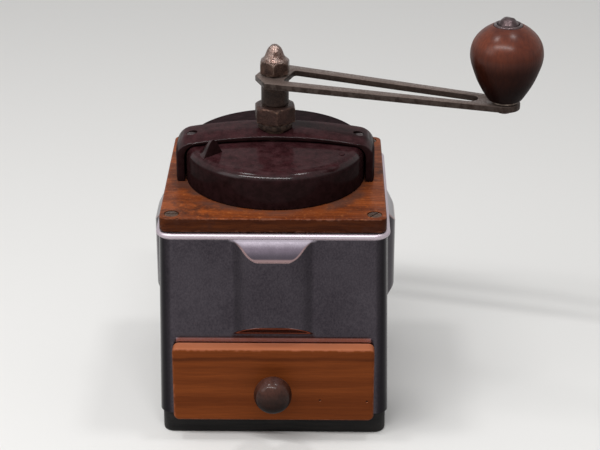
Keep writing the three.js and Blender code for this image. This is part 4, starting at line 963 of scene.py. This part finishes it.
def thumbTab():
    # steep in front, and falling away behind to a low tail
    count, sunk, rows = 25, lid["tabSunk"], []
    for back, width, height in lid["tabShares"]:
        heading = lid["tabHeading"] - lid["tabSweep"] * back
        row = []
        for step in range(count):
            across = -1 + 2 * step / (count - 1)
            crown = math.cos(across * math.pi / 2) ** 1.5
            x, y = polar(lid["tabRadius"] + lid["tabHalf"] * width * across, heading)
            z = lid["top"] - sunk + (lid["tabHeight"] * height + sunk) * crown
            row.append((x * mm, y * mm, z * mm))
        rows.append(row)
    foot = [[(x, y, (lid["top"] - lid["tabFoot"]) * mm) for x, y, z in row] for row in rows]
    under, last, faces = len(rows) * count, count - 1, []
    for level in range(len(rows) - 1):
        low, high = level * count, (level + 1) * count
        for i in range(last):
            a, b = low + i, high + i
            faces += [[a, a + 1, b + 1, b], [under + a, under + b, under + b + 1, under + a + 1]]
        faces.append([low, high, under + high, under + low])
        faces.append([low + last, under + low + last, under + high + last, high + last])
    for level in (0, len(rows) - 1):
        for i in range(last):
            a = level * count + i
            faces.append([a, a + 1, under + a + 1, under + a])
    return tidyNormals(newPiece("thumbTab", [point for row in rows + foot for point in row], faces))


lidPiece = combine(drum("hopperLid", lid), boxTool(*lid["kept"]), "INTERSECT")
eyeTop = lid["top"] + crownAt(lid["eye"])
combine(lidPiece, rodTool(lid["eye"], eyeTop - lid["wall"], eyeTop - 0.05, 64), "UNION")
combine(lidPiece, thumbTab(), "UNION")
pipRadius, pipHeading, pipSize, pipRise = lid["pip"]
pipTop = lid["top"] + crownAt(pipRadius) + pipRise
pipLine = [[0, pipTop - 1.6], [pipSize, pipTop - 1.6], [pipSize, pipTop - 0.4]]
pipLine += [[pipSize * 0.93, pipTop - 0.18], [pipSize * 0.75, pipTop - 0.05], [0, pipTop]]
combine(lidPiece, shifted(turned("pip", pipLine, 32), *polar(pipRadius, pipHeading)), "UNION")
combine(lidPiece, rodTool(*lid["hole"]))
dress(smoothShade(lidPiece), "lid", darkMoulding, "moulding", "hopper_lid")
print("lid and hood done")

# Bridge over the hopper: a section swept from foot to foot, with a top that falls away to the front
span = {
    "half": 51, "front": -9, "back": 10.5, "crown": 146.7, "crownFall": 3.4, "shoulder": 9, "inner": 46.3,
    "foot": 120.1, "underside": 139.7, "innerCorner": 6.8, "archFrom": 39.5, "fallFrom": 42, "edge": 0.7,
    "hole": (7.4, 130, 160), "hoodGap": 0.3, "frontDrop": (1.9, 1.0, 0.9), "slopeFrom": -1.0, "fall": 1.7,
    "screw": (42.7, 0.25), "sink": [[0, 135], [1.5, 135], [1.5, 140.6], [2.8, 141.9], [2.85, 150], [0, 150]],
}


def crownLine(x):
    return [x, span["crown"] - span["crownFall"] * (x / span["fallFrom"]) ** 2]


def archLine(x):
    return [x, span["underside"] + crowned["rise"] * (1 - (x / span["archFrom"]) ** 2)]


def halfSpan():
    # outer and inner points in x and z from the middle to a foot, and how far the front lies below the top
    middle, more, legDrop = span["frontDrop"]
    shoulder, innerCorner = span["shoulder"], span["innerCorner"]
    outerSlope = math.degrees(math.atan(2 * span["crownFall"] / span["fallFrom"]))
    innerSlope = math.degrees(math.atan(2 * crowned["rise"] / span["archFrom"]))
    outerEnd = span["half"] - shoulder * (1 - math.sin(math.radians(outerSlope)))
    innerEnd = span["inner"] - innerCorner * (1 - math.sin(math.radians(innerSlope)))
    outerMid = crownLine(outerEnd)[1] - shoulder * math.cos(math.radians(outerSlope))
    innerMid = archLine(innerEnd)[1] - innerCorner * math.cos(math.radians(innerSlope))
    for step in range(29):
        share = step / 28
        yield crownLine(outerEnd * share), archLine(innerEnd * share), middle + more * share ** 2
    for step in range(1, 15):
        share = step / 14
        outerTurn = math.radians((90 - outerSlope) * (1 - share))
        innerTurn = math.radians((90 - innerSlope) * (1 - share))
        yield ([span["half"] - shoulder * (1 - math.cos(outerTurn)),
                outerMid + shoulder * math.sin(outerTurn)],
               [span["inner"] - innerCorner * (1 - math.cos(innerTurn)),
                innerMid + innerCorner * math.sin(innerTurn)],
               middle + more + (legDrop - middle - more) * share)
    for step in range(1, 11):
        share = step / 10
        yield ([span["half"], outerMid + (span["foot"] - outerMid) * share],
               [span["inner"], innerMid + (span["foot"] - innerMid) * share], legDrop)


def spanStations():
    right = list(halfSpan())
    left = [([-o[0], o[1]], [-i[0], i[1]], drop) for o, i, drop in right[1:]]
    return left[::-1] + right


def inHood(x, y, z):
    gap, away = span["hoodGap"], math.hypot(x, y)
    middle = hood["top"] - hood["shoulder"]
    if z < middle:
        return away < hood["radius"] + gap
    if away < crowned["radius"]:
        return z < hood["top"] + gap + crownAt(away)
    return math.hypot(away - crowned["radius"], z - middle) < hood["shoulder"] + gap


def spanLoop(outer, inner, drop):
    # one section, as y and the height over the inner point
    edge, frontY, backY = span["edge"], span["front"], span["back"]
    thick = math.hypot(outer[0] - inner[0], outer[1] - inner[1])
    way = [(outer[k] - inner[k]) / thick for k in range(2)]

    def clearOf(y):
        low, high = 0.0, thick
        for _ in range(24):
            mid = (low + high) / 2
            if inHood(inner[0] + way[0] * mid, y, inner[1] + way[1] * mid):
                low = mid
            else:
                high = mid
        return high

    lip = thick - drop
    loop = [(frontY + 0.4, 0), (frontY + 0.12, 0.12), (frontY, 0.4), (frontY, lip / 2)]
    loop += [(frontY + edge * (1 - math.sin(a)), lip - edge + edge * math.cos(a)) for a in
             [math.pi / 2 - math.pi / 3 * step / 4 for step in range(5)]]
    slopeStart = loop[-1]
    for step in range(1, 9):
        y = slopeStart[0] + (span["slopeFrom"] - slopeStart[0]) * step / 8
        loop.append((y, thick - (thick - slopeStart[1]) * (1 - step / 8) ** span["fall"]))
    loop += [(y, thick) for y in (2, 6)]
    loop += [(backY - edge + edge * math.sin(a), thick - edge + edge * math.cos(a)) for a in
             [math.pi / 2 * step / 4 for step in range(5)]]
    loop += [(y, clearOf(y)) for y in (backY, 8, 5, 2, -2.3)] + [(-2.3, 0), (-5, 0)]
    return [((inner[0] + way[0] * t) * mm, y * mm, (inner[1] + way[1] * t) * mm) for y, t in loop]


def makeSpan():
    rows = [spanLoop(*station) for station in spanStations()]
    count, last = len(rows[0]), len(rows) - 1
    faces = [list(range(count)), [last * count + i for i in range(count)]]
    for level in range(last):
        faces += ringFaces(level, count)
    piece = tidyNormals(newPiece("hopperBridge", [point for row in rows for point in row], faces))
    combine(piece, rodTool(*span["hole"], 64))
    for side in (-1, 1):
        combine(piece, shifted(turned("sink", span["sink"], 32), side * span["screw"][0], span["screw"][1]))
    return piece


dress(smoothShade(makeSpan(), 36), "body", darkMoulding, "moulding", "hopper_bridge")
print("bridge done")


# Adjusting nut, neck, lock ring and cap nut
def hexClamp(piece, flats, heading, soft):
    # draws a turned piece in to six flats with rubbed corners
    for vertex in piece.data.vertices:
        radius = math.hypot(vertex.co.x, vertex.co.y) / mm
        if radius < 0.1:
            continue
        turn = (math.degrees(math.atan2(vertex.co.y, vertex.co.x)) - heading + 30) % 60 - 30
        limit = flats / math.cos(math.radians(turn))
        kept = -soft * math.log(math.exp(-radius / soft) + math.exp(-limit / soft))
        vertex.co.x *= kept / radius
        vertex.co.y *= kept / radius
    return piece


def sideways(spot):
    side = Vector((spot.x, spot.y, 0))
    return side.normalized() if side.length > 0.1 else None


def wear(piece, size, depth):
    # small dents all over
    for vertex in piece.data.vertices:
        spot = vertex.co / mm
        side = sideways(spot)
        if side:
            vertex.co += side * depth * noise.noise(spot * size) * mm
    return piece


nut = {
    "corner": 11.3, "flats": 9.79, "bottom": 150.3, "top": 159.3, "heading": 6.8, "bore": 5.8, "chamfer": 1.6,
    "soft": 0.16, "dentSize": 0.5, "dent": 0.1,
}
nutLine = [[nut["bore"], nut["bottom"]], [nut["flats"] - 0.5, nut["bottom"]]]
nutLine += [[nut["flats"], nut["bottom"] + 0.1], [nut["corner"] + 0.15, nut["bottom"] + 0.9]]
nutLine += [[nut["corner"] + 0.15, z] for z in (151.6, 152.2, 153, 154, 155, 156, 156.8, 157.3)]
nutLine += [[nut["corner"] + 0.1, nut["top"] - nut["chamfer"]], [10.3, 158.55], [9.5, 159.05], [9.0, 159.22]]
nutLine += [[8.5, 159.3], [7.6, nut["top"]], [nut["bore"], nut["top"]]]
nutPiece = hexClamp(turned("adjustingNut", nutLine, 180), nut["flats"], nut["heading"], nut["soft"])
wear(nutPiece, nut["dentSize"], nut["dent"])
dress(smoothShade(nutPiece, 24), "adjuster", wornBrass, "brass", "adjusting_nut")

neck = {
    "bottom": 142.3, "shoulder": 159.6, "top": 171.9, "radius": 7, "thread": 5.6, "bore": 4.1,
    "dentSize": 0.4, "dent": 0.08,
}
neckLine = [[neck["bore"], neck["bottom"]], [neck["thread"], neck["bottom"]]]
neckLine += [[neck["thread"], neck["shoulder"]], [6.6, neck["shoulder"]], [6.95, neck["shoulder"] + 0.3]]
neckLine += [[neck["radius"], z] for z in (neck["shoulder"] + 0.8, 162, 164, 166, 168, 170, 171.1)]
neckLine += [[6.9, 171.6], [6.6, neck["top"]], [neck["bore"], neck["top"]]]
neckPiece = wear(turned("risingNeck", neckLine, 72), neck["dentSize"], neck["dent"])
dress(smoothShade(neckPiece, 40), "neck", neckSteel, "worn_steel", "rising_neck")

lockLine = [[7.4, 147.0], [8.6, 147.0], [8.8, 147.25], [8.8, 149.7], [8.6, 150.0], [7.4, 150.0]]
dress(smoothShade(turned("lockRing", lockLine, 72), 40), "body", neckSteel, "worn_steel", "lock_ring")

cap = {
    "corner": 8.2, "flats": 7.1, "bottom": 175.5, "hexTop": 182.9, "heading": -3.5, "soft": 0.14, "bore": 3.4,
    "boreTop": 184.2, "dentFrom": 183, "dent": 0.3,
    "dome": [[6.5, 183.0], [6.1, 183.5], [5.3, 184.4], [4.55, 186.0], [3.9, 187.8], [2.8, 189.5],
             [1.5, 190.6], [0, 191.0]],
}
capLine = [[cap["bore"], cap["bottom"]], [cap["flats"] - 0.4, cap["bottom"]]]
capLine += [[cap["corner"] + 0.1, z] for z in (cap["bottom"] + 0.8, 176.9, 177.6, 178.4, 179.2, 180, 180.7)]
capLine += [[cap["corner"] + 0.05, 181.3], [7.6, 182.1], [7.1, 182.65], [6.75, cap["hexTop"]]]
capLine += eased(cap["dome"], 4) + [[0, cap["boreTop"]], [cap["bore"], cap["boreTop"]]]
capPiece = hexClamp(turned("capNut", capLine, 144), cap["flats"], cap["heading"], cap["soft"])
for vertex in capPiece.data.vertices:
    spot = vertex.co / mm
    side = sideways(spot)
    if side and spot.z > cap["dentFrom"]:
        vertex.co += side * cap["dent"] * noise.noise(spot * 0.42) * mm
        vertex.co.z += 0.5 * cap["dent"] * (noise.noise(spot * 0.5 + Vector((7, 3, 1))) - 0.3) * mm
dress(smoothShade(capPiece, 24), "crank", capMetal, "bright_metal", "cap_nut")

arm = {
    "heading": -19.8, "length": 119, "bottom": 172.2, "top": 175.2, "hubBack": 8.5, "hubBackHalf": 5.5,
    "hubHalf": 15.7, "hubNose": 0.5, "tip": 7.6, "slotStart": 7.6, "slotEnd": 105.5, "slotCorner": 1.6,
    "legHub": 6.8, "legTip": 4.6, "edge": 0.35, "square": 3.4, "rivetHole": 2.7, "cutFrom": 165, "cutTo": 180,
}


def makeArm():
    def edgeAt(u):
        run = arm["length"] - arm["hubNose"]
        return arm["hubHalf"] + (arm["tip"] - arm["hubHalf"]) * (u - arm["hubNose"]) / run

    def slotAt(u):
        share = (u - arm["slotStart"]) / (arm["slotEnd"] - arm["slotStart"])
        return edgeAt(u) - arm["legHub"] - (arm["legTip"] - arm["legHub"]) * share

    outer = [[-arm["hubBack"], -arm["hubBackHalf"]], [arm["hubNose"], -arm["hubHalf"]]]
    outer += arc(arm["length"], 0, arm["tip"], -90, 90, 24)
    outer += [[arm["hubNose"], arm["hubHalf"]], [-arm["hubBack"], arm["hubBackHalf"]]]
    piece = slab("crankArm", outer, arm["bottom"], arm["top"])
    last = arm["slotEnd"] - slotAt(arm["slotEnd"])
    corner, start = arm["slotCorner"], slotAt(arm["slotStart"])
    slot = arc(arm["slotStart"] + corner, start - corner, corner, 90, 180, 6)
    slot += arc(arm["slotStart"] + corner, corner - start, corner, 180, 270, 6)
    slot += arc(last, 0, slotAt(last), -90, 90, 16)
    half, cut = arm["square"], (arm["cutFrom"], arm["cutTo"])
    combine(piece, slab("slot", slot, *cut))
    combine(piece, boxTool(-half, half, -half, half, *cut))
    combine(piece, shifted(rodTool(arm["rivetHole"], *cut, 24), arm["length"]))
    roundEdges(piece, arm["edge"], 2, 50)
    turn = math.radians(arm["heading"])
    for vertex in piece.data.vertices:
        x, y = vertex.co.x, vertex.co.y
        vertex.co.x = x * math.cos(turn) - y * math.sin(turn)
        vertex.co.y = x * math.sin(turn) + y * math.cos(turn)
    return piece


dress(smoothShade(makeArm(), 40), "crank", armSteel, "worn_steel", "crank_arm")
print("crank done")

# Crank knob, its ferrule and its rivet
knobX, knobY = polar(arm["length"], arm["heading"])
knob = {
    "bottom": 176.8, "height": 37.1, "radius": 17.58, "pocket": 7.15, "pocketDepth": 1.2, "bore": 2.5,
    "cutFrom": 170, "cutTo": 220, "ferruleSunk": 0.9, "rivet": 5.1, "rivetRise": 4.9, "dent": 0.25,
    "shares": [[0.43, 0], [0.47, 0.012], [0.54, 0.06], [0.67, 0.16], [0.8, 0.28], [0.905, 0.41],
               [0.972, 0.51], [1, 0.6], [0.985, 0.69], [0.93, 0.775], [0.815, 0.86], [0.65, 0.935],
               [0.49, 0.985], [0.42, 1]],
}
knobTop = knob["bottom"] + knob["height"]
knobLine = [[r * knob["radius"], knob["bottom"] + z * knob["height"]] for r, z in knob["shares"]]
knobPiece = turned("crankKnob", [[0, knob["bottom"]]] + eased(knobLine, 5) + [[0, knobTop]], 96)
combine(knobPiece, rodTool(knob["bore"], knob["cutFrom"], knob["cutTo"], 32))
combine(knobPiece, rodTool(knob["pocket"], knobTop - knob["pocketDepth"], knob["cutTo"], 64))
dress(smoothShade(shifted(knobPiece, knobX, knobY), 45), "handle", knobWood, "knob_wood", "crank_knob")

rivetTop = knobTop - knob["ferruleSunk"]
ferruleLine = [[5.3, rivetTop], [6.9, rivetTop], [6.95, knobTop + 0.05]]
ferruleLine += arc(6.1, knobTop + 0.05, 0.8, 0, 180, 8)[1:]
ferrule = turned("knobFerrule", ferruleLine, 64)
dress(smoothShade(shifted(ferrule, knobX, knobY), 45), "handle", brightMetal, "bright_metal", "knob_ferrule")

rivetLine = [[0, 170.3], [3.2, 170.3], [4, 171.9], [2.4, 171.9], [2.4, rivetTop]]
for step in range(11):
    turn = step * math.pi / 20
    rivetLine.append([knob["rivet"] * math.cos(turn), rivetTop + knob["rivetRise"] * math.sin(turn)])
rivet = turned("knobRivet", rivetLine, 40)
for vertex in rivet.data.vertices:
    spot = vertex.co / mm
    if spot.z > rivetTop + 0.6:
        vertex.co *= 1 + 0.0015 * noise.noise(spot * 0.6)
        vertex.co.x += knob["dent"] * noise.noise(spot * 0.45) * mm
dress(smoothShade(shifted(rivet, knobX, knobY), 30), "crank", brightMetal, "bright_metal", "knob_rivet")
print("knob done")

# Drawer front with its two nails, and the drawer's knob
drawer = {
    "half": 50.8, "bottom": 11.4, "height": 41.1, "back": -58.4, "thickness": 6.6, "corner": 3.0, "edge": 1.5,
    "cut": (-60, 60, -58.4, -50, 0, 60), "nails": [[23.6, 23.4], [47.3, 22.8]], "hole": (1.8, -9, 9, 24),
    "pit": [[0, -0.8], [0.45, -0.7], [0.6, -0.2], [0.8, 1], [0, 1]],
    "nail": [[0, -0.68], [0.42, -0.66], [0.5, -0.6], [0.45, -0.5], [0, -0.45]],
}
face = drawer["back"] - drawer["thickness"]
middle = drawer["bottom"] + drawer["height"] / 2
frontLine = roundedOutline(drawer["half"], drawer["height"] / 2, drawer["corner"], 8)
front = slab("drawerFront", [[x, z + middle] for x, z in frontLine], face, drawer["back"] + 3, "xz")
roundEdges(front, drawer["edge"], 4, 50)
combine(front, boxTool(*drawer["cut"]))


def facingFront(piece, x, y, z):
    # turns a piece made about z so that its top faces the viewer, and sets it in place
    for vertex in piece.data.vertices:
        vertex.co = Vector((vertex.co.x + x * mm, y * mm - vertex.co.z, vertex.co.y + z * mm))
    return piece


combine(front, facingFront(rodTool(*drawer["hole"]), 0, face, middle))
for x, z in drawer["nails"]:
    combine(front, facingFront(turned("pit", drawer["pit"], 16), x, face, z))
dress(smoothShade(front), "drawer", drawerWood, "drawer_wood", "drawer_front")
for place, (x, z) in enumerate(drawer["nails"], 1):
    head = facingFront(turned(f"drawerNail{place}", drawer["nail"], 16), x, face, z)
    dress(smoothShade(head), "drawer", nailIron, "worn_steel")

pull = {
    "radius": 9.5, "length": 17.4, "hole": (1.8, -3, 8.3, 24), "sunk": 0.3,
    "shares": [[0.5, 0], [0.47, 0.08], [0.6, 0.15], [0.82, 0.27], [0.96, 0.41], [1, 0.54], [0.96, 0.68],
               [0.82, 0.83], [0.55, 0.94], [0.28, 0.99], [0, 1]],
}
pullLine = [[r * pull["radius"], z * pull["length"]] for r, z in pull["shares"]]
pullPiece = turned("drawerKnob", [[0, 0]] + eased(pullLine, 5)[:-1] + [[0, pull["length"]]], 80)
combine(pullPiece, rodTool(*pull["hole"]))
facingFront(pullPiece, 0, face - pull["sunk"], middle)
dress(smoothShade(pullPiece, 45), "drawer", drawerKnobWood, "knob_wood", "drawer_knob")
print("drawer done")

# CAD nodes that keep their own shape
keptFinishes = {
    "base_screw_": wornSteel, "leg_screw_": wornSteel, "bowl_screw_": wornSteel, "burr_screw_": wornSteel,
    "strap_screw_": wornSteel, "corner_post_": postWood, "drawer_": rawWood, "drawer_screw": wornSteel,
    "ring_burr": castIron, "cone_burr": castIron, "bearing_strap": castIron, "bearing_bush": wornBrass,
    "crank_shaft": wornSteel, "burr_pin": wornSteel,
}
for name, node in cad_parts.items():
    found = [finish for start, finish in keptFinishes.items() if name.startswith(start)]
    if not found:
        continue
    if not node.material_slots:
        node.data.materials.append(None)
    for place in node.material_slots:
        place.link = "OBJECT"
        place.material = found[-1]

# Screws that show, with slotted heads: each place is x, y and the slot's heading
screws = {
    "plate": {
        "finish": screwSteel, "slot": "worn_steel", "top": 119.8, "head": 3.4, "shank": 1.7, "length": 24,
        "places": {"front_left": (-50, -50, 0), "front_right": (50, -50, 50), "back_left": (-50, 50, 100),
                   "back_right": (50, 50, 150)},
    },
    "bridge": {
        "finish": brightMetal, "slot": "bright_metal", "top": 142.7, "head": 2.5, "shank": 1.2, "length": 3.5,
        "places": {"left": (-42.7, 0.25, 0), "right": (42.7, 0.25, 0)},
    },
}
headRise = 0.12


def slottedScrew(name, head, shank, length, heading):
    slot = shank / 2
    line = [[0, headRise]]
    line += [[head * share, headRise * (1 - share ** 2)] for share in (0.25, 0.5, 0.75, 0.93)]
    line += [[head, -0.15], [head, -slot / 2], [shank, -slot / 2 - head + shank], [shank, shank - length]]
    piece = turned(name, line + [[slot, -length], [0, -length]], 48)
    cutter = boxTool(-head - 1, head + 1, -slot / 2, slot / 2, -slot, 1)
    cutter.data.transform(Matrix.Rotation(math.radians(heading), 4, "Z"))
    return combine(piece, cutter)


for kind, screw in screws.items():
    for corner, (x, y, heading) in screw["places"].items():
        name = f"{kind}Screw" + corner.title().replace("_", "")
        piece = slottedScrew(name, screw["head"], screw["shank"], screw["length"], heading)
        shifted(piece, x, y, screw["top"] - headRise)
        dress(smoothShade(piece), "body", screw["finish"], screw["slot"], f"{kind}_screw_{corner}")

# Washer under the crank knob
washerLine = [[2.7, 175.5], [6.3, 175.5], [6.5, 175.7], [6.5, 176.3], [6.3, 176.5], [2.7, 176.5]]
washer = shifted(turned("knobWasher", washerLine, 64), knobX, knobY)
dress(smoothShade(washer, 40), "crank", wornSteel, "worn_steel", "knob_washer")

# Hopper bowl: a round pot with a flat rim above and a foot for the burr ring below
bowl = {
    "inside": 35, "wall": 2, "rim": 43.3, "rimTop": 121.3, "rimBottom": 120.1, "mouth": 19.5, "throat": 92.24,
    "bottom": 89.24, "foot": 29.5, "screwAt": 40.35, "screwHole": (1.3, 118, 123, 24), "burrScrewAt": 26.6,
    "burrScrewHole": (1.6, 88, 94, 24), "headings": (-90, 30, 150),
}


def dropAngle(height, radius):
    return math.degrees(math.asin((height - bowl["rimTop"]) / radius))


outside = bowl["inside"] + bowl["wall"]
bowlLine = [[bowl["rim"], bowl["rimBottom"]], [bowl["rim"], bowl["rimTop"] - 0.2]]
bowlLine += [[bowl["rim"] - 0.2, bowl["rimTop"]], [bowl["inside"] + 0.4, bowl["rimTop"]]]
bowlLine += arc(0, bowl["rimTop"], bowl["inside"], -0.8, dropAngle(bowl["throat"], bowl["inside"]), 20)
bowlLine += [[bowl["mouth"], bowl["bottom"]], [bowl["foot"], bowl["bottom"]], [bowl["foot"], bowl["throat"]]]
turns = [dropAngle(bowl[height], outside) for height in ("throat", "rimBottom")]
bowlLine += arc(0, bowl["rimTop"], outside, *turns, 20)
bowlPiece = turned("hopperBowl", bowlLine, 96)
for heading in bowl["headings"]:
    combine(bowlPiece, shifted(rodTool(*bowl["screwHole"]), *polar(bowl["screwAt"], heading)))
    combine(bowlPiece, shifted(rodTool(*bowl["burrScrewHole"]), *polar(bowl["burrScrewAt"], heading)))
dress(smoothShade(bowlPiece, 40), "body", tinnedSteel, "tinned_steel", "hopper_bowl")
print("screws and bowl done")

# Floor, lights and camera
studio = {
    "floor": 6.0, "daylight": 0.4, "backdrop": 0.85, "sensor": 36, "lens": 105, "nearest": 0.01,
    "camera": (0.02273, -0.83726, 0.46651), "down": 0.421, "turn": 0.012,
    "lamps": [
        # place, aims at, width, height, watts
        ("keyPanel", (-0.2, -0.72, 1.12), (0, 0, 0.12), 1.2, 0.05, 10.0),
        ("leftPanel", (-0.38, -0.05, 1.2), (0, 0, 0.12), 0.14, 0.14, 2.0),
        ("rightPanel", (0.34, -0.05, 1.2), (0, 0, 0.12), 0.14, 0.14, 2.0),
        ("fillPanel", (-0.9, -0.5, 0.7), (0, 0, 0.1), 0.6, 0.6, 2.6),
    ],
}
reach = studio["floor"]
floorCorners = [(-reach, -reach, 0), (reach, -reach, 0), (reach, reach, 0), (-reach, reach, 0)]
floor = newPiece("studioFloor", floorCorners, [[0, 1, 2, 3]])
floor.data.materials.append(startMaterial("paleFloor", Base_Color=(226, 225, 223), Roughness=0.7)[0])

world = bpy.data.worlds.new("studio")
bpy.context.scene.world = world
world.use_nodes = True
tree = world.node_tree
seen = addNode(tree, "ShaderNodeLightPath")
direct = maths(tree, "MAXIMUM", seen.outputs["Is Camera Ray"],
               maths(tree, "MAXIMUM", seen.outputs["Is Glossy Ray"], seen.outputs["Is Transmission Ray"]))
tree.nodes["Background"].inputs["Color"].default_value = (1, 1, 1, 1)
brightness = between(tree, direct, 0, 1, studio["daylight"], studio["backdrop"])
setInput(tree, tree.nodes["Background"], "Strength", brightness)
for name, place, target, width, height, watts in studio["lamps"]:
    lamp = bpy.data.lights.new(name, "AREA")
    lamp.shape = "RECTANGLE"
    lamp.size, lamp.size_y, lamp.energy = width, height, watts
    holder = bpy.data.objects.new(name, lamp)
    holder.location = place
    holder.rotation_euler = (Vector(target) - Vector(place)).to_track_quat("-Z", "Y").to_euler()
    bpy.context.scene.collection.objects.link(holder)

lens = bpy.data.cameras.new("photoCamera")
lens.sensor_width = studio["sensor"]
lens.lens = studio["lens"]
lens.clip_start = studio["nearest"]
camera = bpy.data.objects.new("photoCamera", lens)
camera.location = studio["camera"]
camera.rotation_euler = (math.pi / 2 - studio["down"], 0, studio["turn"])
bpy.context.scene.collection.objects.link(camera)
bpy.context.scene.camera = camera
bpy.context.scene.view_settings.view_transform = "Standard"

print("pieces ready")
